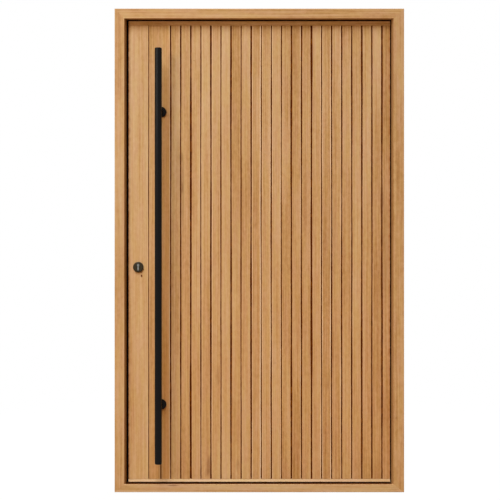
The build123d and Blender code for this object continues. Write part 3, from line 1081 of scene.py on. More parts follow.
    def profile(self, has_rabbet: bool, has_lap: bool, blind: bool) -> np.ndarray:
        """Put a board's section together: walls, face, rear lap and rabbet.

        Args:
            has_rabbet: Whether its left side lies over a neighbour's lap.
            has_lap: Whether its right side has a lap.
            blind: Whether the blind groove runs down it.

        Returns:
            Rows of share, offset, depth, shade, arris and cut, round the section.
        """
        floor = self.groove_depth
        rows = [self.wall(0.0, 0.0, 1.0, floor - self.lap_clearance, 0.0)]
        if blind:
            half = self.blind_groove_gap.value * MM / 2
            before, after = self.split_face
            rows.append(self.face_rows(*before))
            rows.append(self.wall(0.0, self.blind_groove_inset - half, -1.0, floor, 1.0))
            rows.append(self.wall(0.0, self.blind_groove_inset + half, 1.0, floor, 1.0))
            rows.append(self.face_rows(*after))
        else:
            rows.append(self.face_rows(*self.plain_face))
        rows.append(self.wall(1.0, 0.0, -1.0, floor, 0.0))
        if not has_rabbet:
            rows[0][:, 3] *= self.open_edge_shade
        if not has_lap:
            rows[-1][:, 3] *= self.open_edge_shade
        reach = self.lap_reach if has_lap else 0.0
        start = self.lap_reach + 2 * self.lap_clearance if has_rabbet else 0.0
        back = self.board_thickness
        if has_lap:
            rows.append(np.array([[1.0, reach, floor, 1.0, 0.0, 0.0]]))
        far = 1.0 if has_lap else self.open_edge_shade
        near = 1.0 if has_rabbet else self.open_edge_shade
        rows.append(np.array([[1.0, reach, back, far, 0.0, 0.0], [0.0, start, back, near, 0.0, 0.0]]))
        if has_rabbet:
            rows.append(np.array([[0.0, start, floor - self.lap_clearance, 1.0, 0.0, 0.0]]))
        return np.vstack(rows)

    def add_board(
        self, batch: MeshBatch, number: int, left: np.ndarray, right: np.ndarray, rows: np.ndarray
    ) -> None:
        """Carry a board's section up the door and add it to a batch.

        Args:
            batch: Where the board goes.
            number: The board's number, from the lock side.
            left: Its left edge at each height.
            right: Its right edge at each height.
            rows: Its section.
        """
        share, offset, depth, shade, arris, cut = rows.T
        x = np.outer(left, 1 - share) + np.outer(right, share) + offset
        kept = 1 - np.outer(1 - self.groove_here, cut)
        # The painted highlight on the eased edges: stronger on some boards, patchy up the door.
        near, far = self.edges.get(number, self.plain_highlights)
        patchy = self.highlight_mean + wander(self.rng, self.heights, self.highlight_swing, self.highlight_period)
        pale = (near + (far - near) * share) * patchy[:, None]
        level = self.rng.uniform(0.0, self.set_back)
        deep = np.maximum(depth * kept, self.end_drop[:, None])
        deep = deep + level * (deep < self.groove_depth / 2)
        y = self.side.face() - self.side.outward * deep
        z = np.broadcast_to(self.heights[:, None], x.shape)
        chance = self.tint_spread * self.rng.standard_normal()
        tone = self.tints.get(number, chance)
        rise = (self.heights - self.heights[0]) / (self.heights[-1] - self.heights[0])
        tint = tone - self.falls.get(number, 0.0) * (1 - rise)
        # Painted shadow of the head: the boards darken towards their top.
        tint = tint - self.head_shadow * np.exp((self.heights - self.heights[-1]) / self.head_shadow_reach)
        # The bar board's right side is painted lighter and warmer inside the pull bar's shadow.
        lighter, warmer = self.bar_shadow_paint.get(number, (0.0, 0.0))
        ended = (self.end_drop > 0)[:, None]
        # Painted shade along the leaf's two upright edges, on the face and eased edges only.
        rim = np.minimum(x - self.lock_edge, self.hinge_edge - x)
        wear_and_shade = self.rim_shade * np.exp(-np.maximum(rim, 0.0) / self.rim_reach)
        wear_and_shade = np.where(depth < 2 * self.arris, wear_and_shade, 0.0)
        batch.add_skin(
            np.stack([x, y, z], axis=-1),
            board=np.float64(self.patterns.get(number, number) + self.first_pattern),
            tint=tint[:, None] + lighter * np.outer(1 - rise, share),
            warm=np.minimum(warmer * np.outer((1 - rise) ** self.bar_shadow_power, share), 1.0),
            shade=np.where(ended, self.end_shade, np.clip(shade * kept + wear_and_shade, 0.0, 1.0)),
            arris=np.where(ended, self.end_highlight, np.clip(arris * kept * pale, 0.0, 1.0)),
        )

    def build(self) -> None:
        """Make the three pieces of this face: lock board, bar board and narrow boards."""
        side = self.side.value
        material = self.finish.make()
        grooves = self.grooves()
        lefts = [np.full_like(self.heights, self.lock_edge), *(pair[1] for pair in grooves)]
        rights = [*(pair[0] for pair in grooves), np.full_like(self.heights, self.hinge_edge)]
        gap_after = [*(float((pair[1] - pair[0]).mean()) for pair in grooves), 0.0]
        batches = {"lock_board": MeshBatch(), "bar_board": MeshBatch(), "boards": MeshBatch()}
        last = len(lefts) - 1
        for number, (left, right) in enumerate(zip(lefts, rights, strict=True)):
            kind = ("lock_board", "bar_board", "boards")[min(number, 2)]
            rows = self.profile(has_rabbet=number > 0, has_lap=number < last, blind=number == 1)
            lap = (rows[:, 0] == 1.0) & (rows[:, 1] > 0)
            rows[lap, 1] += gap_after[number]
            self.add_board(batches[kind], number, left, right, rows)
        for kind, batch in batches.items():
            piece = batch.build(f"{side}_{kind}_planed")
            place_piece(piece, material, "leaf", "board_timber", f"{side}_{kind}")


@dataclass
class PullBar:
    """A round bar on two leaning posts, each with a round rose on the leaf.

    Attributes:
        side: Outer or inner face of the leaf.
        finish: The coat on it.
        post_heights: Where the two posts are.
        post_radius: Half a post's thickness.
        post_lean: How much nearer the hinge edge a post's foot stands than the bar.
        end_round: How much the bar's ends are rounded.
        weld: How wide the fillet between post and bar is.
        rose_radius: Half a rose's diameter.
        rose_thickness: How far a rose stands out from the leaf.
        collar_radius: Half the diameter of the collar round a post's foot.
        collar_round: How far the collar stands out of the rose, in a quarter circle.
        weld_steps: The post's rings, each as two shares of the weld: how much of it is added to
            the radius, and how much the ring stops short of the bar. The first is at the seat.
        seat: How far in front of the leaf's face a post starts, inside its rose.
        rim_round: How much a rose's rim is rounded.
        dish_radii: The radii of a rose's shallow dish: its lip, and the rim and end of its floor.
        dish_depth: How deep that dish is.
    """

    side: Side
    finish: CoatedFinish
    post_heights: tuple[float, float] = (397.0 * MM, 1737.0 * MM)
    post_radius: float = 10.0 * MM
    post_lean: float = 7.0 * MM
    end_round: float = 2.5 * MM
    weld: float = 2.0 * MM
    rose_radius: float = 24.0 * MM
    rose_thickness: float = 6.0 * MM
    collar_radius: float = 15.5 * MM
    collar_round: float = 4.0 * MM
    weld_steps: tuple[tuple[float, float], ...] = (
        (0.0, 0.0), (0.0, 1.6), (0.12, 0.75), (0.42, 0.28), (1.0, 0.0)
    )
    seat: float = 0.5 * MM
    rim_round: float = 1.6 * MM
    dish_radii: tuple[float, ...] = (19.6 * MM, 19.0 * MM, 16.5 * MM)
    dish_depth: float = 0.7 * MM

    def __post_init__(self) -> None:
        """Read the bar's place from its solid."""
        low, high = (np.array(corner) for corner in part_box(f"{self.side.value}_bar"))
        self.middle = (low + high) / 2
        self.radius = (high[0] - low[0]) / 2
        self.foot, self.top = low[2], high[2]
        self.leaf_face = self.side.face()

    def build(self) -> None:
        """Make the bar and the pair of posts with their roses."""
        material = self.finish.make()
        inset, drop = rounded_edge(self.end_round, 8)
        radii = np.concatenate([(self.radius - inset)[::-1], self.radius - inset])
        along = np.concatenate([drop[::-1], self.top - self.foot - drop])
        batch = MeshBatch()
        start = np.array([self.middle[0], self.middle[1], self.foot])
        batch.add_skin(turned(radii, along, start, np.array([0.0, 0.0, 1.0]), 96))
        bar = batch.build(f"{self.side.value}_bar_coated")
        place_piece(bar, material, "leaf", "black_metal", f"{self.side.value}_bar")
        posts = MeshBatch()
        for height in self.post_heights:
            posts.add_skin(self.post_rings(height), Ends.POINT)
            posts.add_skin(self.rose_rings(height))
        piece = posts.build(f"{self.side.value}_posts_coated")
        place_piece(piece, material, "leaf", "black_metal", f"{self.side.value}_posts")

    def post_rings(self, height: float, around: int = 72) -> np.ndarray:
        """Carry a circle along the leaning post, from the leaf to a saddle on the bar.

        A line of the post starts where it meets the plane that lies the seat in front of the
        leaf's face. It stops at the smaller root t of |p + t * d - bar axis| = bar radius, taken
        across the bar.

        Args:
            height: The post's height.
            around: How many points a ring has.

        Returns:
            The rings.
        """
        foot = np.array([self.middle[0] + self.post_lean, self.leaf_face, height])
        end = np.array([self.middle[0], self.middle[1], height])
        way = (end - foot) / np.linalg.norm(end - foot)
        upward = np.array([0.0, 0.0, 1.0])
        across = np.cross(way, upward)
        angle = full_turn(around, 0.0)
        spokes = np.outer(np.cos(angle), across) + np.outer(np.sin(angle), upward)
        wider, short = self.weld * np.array(self.weld_steps).T
        radii = self.post_radius + wider
        lines = foot + radii[:, None, None] * spokes
        flat = (lines - end)[..., :2]
        run = way[:2]
        half_b = flat @ run
        gap = (flat**2).sum(axis=-1) - self.radius**2
        reach = (-half_b - np.sqrt(half_b**2 - (run @ run) * gap)) / (run @ run)
        travel = reach - short[:, None]
        travel[0] = (self.leaf_face + self.seat * self.side.outward - lines[0, :, 1]) / way[1]
        return lines + travel[..., None] * way

    def rose_rings(self, height: float) -> np.ndarray:
        """Turn a rose: a disc with an eased rim, a shallow dish and a domed collar round the post.

        Args:
            height: The rose's height.

        Returns:
            The rings, from the leaf outwards.
        """
        inset, drop = rounded_edge(self.rim_round)
        rim = self.rose_radius - inset
        arc = np.linspace(0, math.pi / 2, 7)
        collar = self.collar_radius - self.collar_round * (1 - np.cos(arc))
        radii = np.concatenate([[self.rose_radius], rim, self.dish_radii, collar])
        dish = [0.0, self.dish_depth, self.dish_depth]
        drops = np.concatenate([drop, dish, -self.collar_round * np.sin(arc)])
        along = np.concatenate([[0.0], self.rose_thickness - drops])
        start = np.array([self.middle[0] + self.post_lean, self.leaf_face, height])
        return turned(radii, along, start, np.array([0.0, self.side.outward, 0.0]), 72)


def keyhole_outline(head: float, stem: float, tall: float, around: int) -> np.ndarray:
    """Work out a lock cylinder's outline, a round head over a narrower stem with a round foot.

    From a point inside the head a ray leaves the head's circle at a distance t, where
    t = d.c + sqrt(r * r - c * c + (d.c) ** 2). The stem's sides are at w / |cos|, and its foot is
    a circle. The outline is the farthest of them.

    Args:
        head: The head's radius.
        stem: Half the stem's width.
        tall: The whole height.
        around: How many points it has.

    Returns:
        Points as x and z, about the middle of the whole height.
    """
    angle = full_turn(around)
    way = np.stack([np.cos(angle), np.sin(angle)], axis=1)
    head_rise = tall / 2 - head
    eye = np.array([0.0, head_rise - 0.3 * head])
    foot_rise = -tall / 2 + stem

    def ray(centre_rise: float, radius: float) -> np.ndarray:
        """Work out how far along each ray a circle's far side is.

        Args:
            centre_rise: The height of the circle's middle.
            radius: Its radius.

        Returns:
            A distance for each ray.
        """
        along = way[:, 1] * (centre_rise - eye[1])
        inside = radius**2 - (centre_rise - eye[1]) ** 2 + along**2
        return along + np.sqrt(np.maximum(inside, 0.0))

    to_head = ray(head_rise, head)
    to_side = stem / np.maximum(np.abs(way[:, 0]), 1e-9)
    passes_side = eye[1] + to_side * way[:, 1] > foot_rise
    to_stem = np.where(passes_side, to_side, ray(foot_rise, stem))
    to_stem = np.where(way[:, 1] < 0, to_stem, 0.0)
    return eye + np.maximum(to_head, to_stem)[:, None] * way


def slot_outline(half_width: float, half_height: float, around: int) -> np.ndarray:
    """Work out a slot with round ends: a circle whose upper and lower halves are moved apart.

    Args:
        half_width: Half its width, which is the ends' radius.
        half_height: Half its height.
        around: How many points it has.

    Returns:
        Points as x and z, about its middle.
    """
    angle = full_turn(around)
    lift = np.where(np.sin(angle) >= 0, 1.0, -1.0) * (half_height - half_width)
    return np.stack([half_width * np.cos(angle), half_width * np.sin(angle) + lift], axis=1)


def circle_outline(radius: float, around: int) -> np.ndarray:
    """Work out a circle that starts at its top, as x and z about its middle."""
    angle = full_turn(around)
    return radius * np.stack([np.cos(angle), np.sin(angle)], axis=1)


def lifted(outlines: Sequence[np.ndarray], depths: Sequence[float], x: float, z: float) -> np.ndarray:
    """Set outlines one behind the other, each at its own y.

    Args:
        outlines: Outlines as x and z.
        depths: The y of each.
        x: Where their middle is, to the right.
        z: Where it is, upwards.

    Returns:
        The rings.
    """
    flat = np.stack(outlines)
    y = np.broadcast_to(np.array(depths)[:, None], flat.shape[:2])
    return np.stack([flat[..., 0] + x, y, flat[..., 1] + z], axis=-1)


@dataclass
class LockSet:
    """The lock's roses, its cylinder with a turning plug, and the thumbturn inside.

    Attributes:
        bronze: The roses' and thumbturn's finish.
        nickel: The cylinder's finish.
        x: The lock's axis, to the right.
        z: Its height.
        rose_radius: Half a rose's diameter.
        rose_thickness: How far a rose stands out from the leaf.
        rose_rim: How thick its rim is.
        rose_flat: The radius inside which it is flat.
        head_radius: Half the cylinder's round head.
        stem_half: Half its stem's width.
        tall: The cylinder's height.
        play: The rose's hole is this much larger all round.
        hole_ease: How much the edge of that hole is eased.
        face_round: How much the cylinder's two faces are rounded.
        rim_soil: How dark the cylinder's rim is painted, up to 1, as dirt and painted shade.
        face_soil: How dark its face is painted, and how much less that is towards the
            stem, which leaves a painted highlight down it.
        bore_soil: The same round the plug.
        plug_radius: Half the turning plug's diameter.
        plug_play: The room between the plug and its bore.
        plug_bevel: How much the plug's edge is eased.
        plug_short: How far before the cylinder's back the plug ends.
        plug_soil: How dark the plug is painted, from the keyway's floor outwards and to its
        back, as dirt and as painted shade in the keyway.
        keyway_half: Half the keyway's width.
        keyway_tall_half: Half its height.
        keyway_depth: How deep it goes.
        turn_neck_radius: The radius of the thumbturn's neck.
        turn_neck_length: How long that neck is.
        turn_neck_steps: Its profile, as shares of its radius and of its length.
        turn_half_width: Half the width of the thumbturn's grip.
        turn_half_height: Half its height.
        turn_round: How much the grip's edges are rounded.
        turn_waist: How much slimmer it is along its waist.
        around: How many points each ring has.
    """

    bronze: CoatedFinish
    nickel: CoatedFinish
    x: float = -555.0 * MM
    z: float = 1026.0 * MM
    rose_radius: float = 24.0 * MM
    rose_thickness: float = 8.0 * MM
    rose_rim: float = 3.0 * MM
    rose_flat: float = 19.5 * MM
    head_radius: float = 8.5 * MM
    stem_half: float = 5.0 * MM
    tall: float = 33.0 * MM
    play: float = 0.5 * MM
    hole_ease: float = 0.5 * MM
    face_round: float = 2.4 * MM
    rim_soil: float = 0.96
    face_soil: tuple[float, float] = (0.8, 0.45)
    bore_soil: tuple[float, float] = (0.9, 0.72)
    plug_radius: float = 6.0 * MM
    plug_play: float = 0.15 * MM
    plug_bevel: float = 0.3 * MM
    plug_short: float = 1.0 * MM
    plug_soil: tuple[float, ...] = (1.0, 0.0, 0.7, 0.95, 1.0)
    keyway_half: float = 0.6 * MM
    keyway_tall_half: float = 3.8 * MM
    keyway_depth: float = 12.0 * MM
    turn_neck_radius: float = 7.0 * MM
    turn_neck_length: float = 6.0 * MM
    turn_neck_steps: tuple[tuple[float, float], ...] = (
        (1.25, 0.0), (1.25, 0.12), (1.1, 0.25), (1.0, 0.45), (1.0, 1.05)
    )
    turn_half_width: float = 6.0 * MM
    turn_half_height: float = 18.0 * MM
    turn_round: float = 2.4 * MM
    turn_waist: tuple[float, ...] = (0.0, 0.5 * MM, 0.9 * MM, 0.9 * MM, 0.5 * MM, 0.0)
    around: int = 144

    def __post_init__(self) -> None:
        """Read the cylinder's ends from its solid."""
        self.head_rise = self.tall / 2 - self.head_radius
        low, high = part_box("lock_cylinder")
        self.cylinder_front, self.cylinder_back = low[1], high[1]

    def outline(self, margin: float) -> np.ndarray:
        """Give the cylinder's outline, larger by a margin all round."""
        return keyhole_outline(
            self.head_radius + margin, self.stem_half + margin, self.tall + 2 * margin, self.around
        )

    def rose(self, side: Side) -> None:
        """Make a rose: a shallow dome over a thin rim, pierced by the cylinder's outline.

        Its height over the radius r goes as rim + (full - rim) * sqrt(1 - ((r - flat) / (R - flat))^2).

        Args:
            side: The face of the leaf that it is on.
        """
        inset, drop = rounded_edge(1.0, 9)
        radii = self.rose_radius - (self.rose_radius - self.rose_flat) * inset
        heights = self.rose_rim + (self.rose_thickness - self.rose_rim) * (1 - drop)
        circles = [circle_outline(radius, self.around) for radius in (self.rose_radius, *radii)]
        depths = [0.0, *heights]
        hole = self.outline(self.play)
        holes = [self.outline(self.play + self.hole_ease), hole, hole]
        depths += [self.rose_thickness, self.rose_thickness - self.hole_ease, 0.0]
        y = [side.face() + side.outward * depth for depth in depths]
        rings = lifted(circles + holes, y, self.x, self.z)
        batch = MeshBatch()
        batch.add_skin(rings, Ends.JOINED)
        piece = batch.build(f"{side.value}_lock_rose_turned")
        place_piece(piece, self.bronze.make(), "leaf", "bronze_rose", f"{side.value}_lock_rose")

    def cylinder(self) -> None:
        """Make the cylinder's body, with eased faces, and its plug, pierced by the keyway."""
        inset, drop = rounded_edge(self.face_round, 8)
        front, back = self.cylinder_front, self.cylinder_back
        bore = circle_outline(self.plug_radius + self.plug_play, self.around) + [0.0, self.head_rise]
        outer = [self.outline(-step) for step in inset]
        outlines = [bore, *outer[::-1], *outer, bore]
        depths = [front, *(front + drop[::-1]), *(back - drop), back]
        # Painted dirt and shade darken the nickel, least down the stem, which leaves a painted
        # highlight.
        wear_and_shade = np.concatenate([[1.0], inset[::-1] / self.face_round, inset / self.face_round, [1.0]])
        stem = np.clip(-np.sin(full_turn(self.around)), 0.0, 1.0) ** 6
        soil = wear_and_shade[:, None] * (self.face_soil[0] - self.face_soil[1] * stem)
        soil += self.rim_soil * (1 - wear_and_shade)[:, None]
        soil[[0, -1]] = self.bore_soil[0] - self.bore_soil[1] * stem
        batch = MeshBatch()
        batch.add_skin(lifted(outlines, depths, self.x, self.z), Ends.JOINED, soil=soil)
        slot = slot_outline(self.keyway_half, self.keyway_tall_half, self.around)
        eased = circle_outline(self.plug_radius - self.plug_bevel, self.around)
        full = circle_outline(self.plug_radius, self.around)
        depths = [
            front + self.keyway_depth, front, front, front + self.plug_bevel, back - self.plug_short
        ]
        rings = lifted([slot, slot, eased, full, full], depths, self.x, self.z + self.head_rise)
        batch.add_skin(rings, soil=np.array(self.plug_soil)[:, None])
        piece = batch.build("lock_cylinder_body")
        place_piece(piece, self.nickel.make(), "leaf", "nickel", "lock_cylinder")

    def thumbturn(self) -> None:
        """Make the thumbturn: a round neck and a flat grip with round ends and a waist."""
        base = Side.INNER.face() + self.rose_thickness
        z = self.z + self.head_rise
        batch = MeshBatch()
        widths, steps = np.array(self.turn_neck_steps).T
        radii, along = widths * self.turn_neck_radius, steps * self.turn_neck_length
        start = np.array([self.x, base, z])
        batch.add_skin(turned(radii, along, start, np.array([0.0, 1.0, 0.0]), self.around))
        inset, drop = rounded_edge(self.turn_round, 7)
        near = base + self.turn_neck_length
        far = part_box("thumbturn")[1][1]
        places = np.linspace(near + drop[0], far - drop[0], len(self.turn_waist))
        slims = np.concatenate([inset[::-1], self.turn_waist[1:-1], inset])
        depths = np.concatenate([near + drop[::-1], places[1:-1], far - drop])
        outlines = [
            slot_outline(self.turn_half_width - slim, self.turn_half_height - slim, self.around)
            for slim in slims
        ]
        batch.add_skin(lifted(outlines, depths, self.x, z))
        piece = batch.build("thumbturn_turned")
        place_piece(piece, self.bronze.make(), "leaf", "bronze_rose", "thumbturn")

    def build(self) -> None:
        """Make all of the lock's pieces that show."""
        self.rose(Side.OUTER)
        self.rose(Side.INNER)
        self.cylinder()
        self.thumbturn()


@dataclass
class BrushSeals:
    """Two runs of pile round the leaf, in the linings' channels.

    A run is a strip whose section narrows towards its tip, which ripples as bristles do:
    reach = length * (1 - ripple * (1 - wave)), where wave goes from -1 to 1 as
    (sin(2 pi * place / bunch) + chance * random) / (1 + chance).

    Attributes:
        runs: How far each run's middle is from the leaf's middle, in y.
        base_half: Half the pile's thickness in its channel.
        tip_half: Half its thickness at the shoulder, which is halved again at the very tip.
        channel: How deep the channel is.
        lock_length: How far the pile stands into the lock side's gap.
        hinge_length: The same at the hinge side, where the leaf's heel sweeps past.
        head_length: The same under the head.
        bunch: The distance from bristle bunch to bristle bunch.
        bunch_points: How many rings a bunch has.
        ripple: How uneven the tip is.
        chance: How strong the random part of that is, set against the wave.
        shoulder: The share of the reach from which the pile narrows to half its thickness.
        clearance: How far the pile's base is above the channel's floor.
        seed: Starts the random part of the tip.
    """

    runs: tuple[float, float] = (-15.0 * MM, 15.0 * MM)
    base_half: float = 2.2 * MM
    tip_half: float = 1.6 * MM
    channel: float = 1.5 * MM
    lock_length: float = 8.0 * MM
    hinge_length: float = 1.8 * MM
    head_length: float = 4.3 * MM
    bunch: float = 5.0 * MM
    bunch_points: int = 4
    ripple: float = 0.05
    chance: float = 0.5
    shoulder: float = 0.9
    clearance: float = 0.1 * MM
    seed: int = 5

    def strip(
        self, batch: MeshBatch, start: np.ndarray, end: np.ndarray, to_leaf: np.ndarray, length: float
    ) -> None:
        """Add one run of pile to a batch.

        Args:
            batch: Where it goes.
            start: Where its base starts, on the lining's face.
            end: Where it ends.
            to_leaf: The direction from the lining to the leaf.
            length: How far it stands out of the lining.
        """
        rng = np.random.default_rng(self.seed)
        run = np.linalg.norm(end - start)
        count = int(run / self.bunch * self.bunch_points)
        share = np.linspace(0, 1, count)
        line = start + share[:, None] * (end - start)
        wave = np.sin(2 * math.pi * share * run / self.bunch) + self.chance * rng.uniform(-1, 1, count)
        reach = length * (1 - self.ripple + self.ripple * wave / (1 + self.chance))
        across = np.array([0.0, 1.0, 0.0])
        sides = np.array([-self.base_half, -self.tip_half, -0.5 * self.tip_half])
        sides = np.concatenate([sides, -sides[::-1]])
        floor = np.full(count, self.clearance - self.channel)
        narrow = self.shoulder * reach
        rises = np.stack([floor, narrow, reach, reach, narrow, floor], axis=1)
        rings = line[:, None, :] + sides[None, :, None] * across + rises[..., None] * to_leaf
        batch.add_skin(rings)

    def build(self) -> None:
        """Make the pile beside the lock edge, beside the hinge edge and under the head."""
        finish = CoatedFinish(
            "brush_pile", linear(16, 11, 8), roughness=0.9, grain=(2600.0, 600.0, 2600.0),
            relief=0.3 * MM, specular=0.05,
        ).make()
        lock_low, lock_high = (np.array(corner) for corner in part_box("lock_lining"))
        hinge_low = np.array(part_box("hinge_lining")[0])
        middle = (lock_low[1] + lock_high[1]) / 2
        left, right = lock_high[0], hinge_low[0]
        foot, top = lock_low[2], lock_high[2]
        plans = {
            "lock_lining": ((left, foot), (left, top), (1.0, 0.0), self.lock_length),
            "hinge_lining": ((right, foot), (right, top), (-1.0, 0.0), self.hinge_length),
            "head_lining": ((left, top), (right, top), (0.0, -1.0), self.head_length),
        }
        for name, (start, end, way, length) in plans.items():
            batch = MeshBatch()
            for run in self.runs:
                ends = [np.array([x, middle + run, z]) for x, z in (start, end)]
                self.strip(batch, *ends, np.array([way[0], 0.0, way[1]]), length)
            piece = batch.build(f"{name}_pile")
            place_piece(piece, finish, "frame", "black_lining")


@dataclass
class Dressing:
    """Finishes for the solids that show as they are: frame, rails, linings and pivots.

    Attributes:
        uprights: The two jambs, whose grain is upright.
        levels: The head and the sill, whose grain is level.
        linings: The black linings in the gaps, whose near-black also paints the gaps' deep shade.
        knot: A small knot in the hinge jamb.
        sill_streak: A darker streak in the sill.
        lock_jamb_cast: A faint darker stretch of the lock jamb, at mid height.
        hinge_jamb_cast: A faint darker stretch of the hinge jamb, at its top.
        rail_cast: A darker band along the bottom rail's top, which keeps its painted highlight low.
    """

    uprights: tuple[str, ...] = ("lock_jamb", "hinge_jamb")
    levels: tuple[str, ...] = ("head", "sill")
    linings: tuple[str, ...] = ("lock_lining", "hinge_lining", "head_lining")
    knot: Mark = Mark(622.9 * MM, 338.5 * MM, 5.0 * MM, 8.0 * MM, 0.25)
    sill_streak: Mark = Mark(-394.0 * MM, 31.0 * MM, 34.0 * MM, 5.0 * MM, 0.45)
    lock_jamb_cast: Mark = Mark(-638.0 * MM, 1150.0 * MM, 70.0 * MM, 560.0 * MM, 0.055)
    hinge_jamb_cast: Mark = Mark(630.0 * MM, 1960.0 * MM, 70.0 * MM, 480.0 * MM, 0.07)
    rail_cast: Mark = Mark(0.0, 53.5 * MM, 5000.0 * MM, 8.0 * MM, 0.15)

    def build(self) -> None:
        """Give every solid that stays its finish."""
        for number, name in enumerate(self.uprights):
            finish = TimberFinish(
                f"{name}_timber", shift=(0.9 * number, 0.4, 0.2), lift=0.05 - 0.05 * number,
                marks=(self.knot, self.lock_jamb_cast, self.hinge_jamb_cast),
                foot_warmth=0.6 - 0.2 * number, painted_recess_shade=0.88 - 0.16 * number,
            )
            dress_node(name, finish.make())
        for number, name in enumerate(self.levels):
            finish = TimberFinish(
                f"{name}_timber", Grain.LEVEL, shift=(0.3, 0.7 * number, 1.3), lift=0.045,
                marks=(self.sill_streak,), figure=1.35, foot_warmth=0.3 * number, painted_recess_shade=0.6,
            )
            dress_node(name, finish.make())
        # The top rail is painted darker, as the shade under the head.
        rail = TimberFinish(
            "top_rail_timber", Grain.LEVEL, shift=(0.5, 0.1, 0.6), lift=-0.1
        ).make()
        dress_node("top_rail", rail)
        # The bottom rail is painted paler, a painted highlight where it catches the light; rail_cast
        # keeps that to its lower part.
        low_rail = TimberFinish(
            "bottom_rail_timber", Grain.LEVEL, shift=(0.1, 0.9, 0.4), lift=0.3,
            marks=(self.rail_cast,), foot_warmth=0.5,
        ).make()
        dress_node("bottom_rail", low_rail)
        lipping = TimberFinish("lipping_timber", shift=(0.2, 0.8, 0.1)).make()
        for name in ("lock_lipping", "hinge_lipping"):
            dress_node(name, lipping)
        core = TimberFinish("core_timber", shift=(0.6, 0.6, 0.6), lift=-0.08).make()
        dress_node("core_panel", core)
        # Near black: the linings' colour, and painted shade that keeps the gaps round the leaf dark.
        lining = CoatedFinish(
            "black_lining", linear(19, 5, 1), roughness=0.75, grain=(900.0, 900.0, 60.0),
            specular=0.03,
        ).make()
        for name in self.linings:
            dress_node(name, lining)
        coat = CoatedFinish(
            "threshold_coat", linear(84, 42, 10), roughness=0.6, specular=0.03
        ).make()
        dress_node("threshold", coat)
        nickel = CoatedFinish(
            "brushed_nickel", linear(186, 182, 174), metallic=1.0, roughness=0.32,
            grain=(1800.0, 1800.0, 40.0),
        ).make()
        for name in ("strike_plate", "lock_faceplate", "lock_bolts"):
            dress_node(name, nickel)
        steel = CoatedFinish(
            "pivot_steel", linear(140, 140, 142), metallic=1.0, roughness=0.38
        ).make()
        for name in ("top_pivot", "bottom_pivot", "top_bush", "bottom_shoe"):
            dress_node(name, steel)


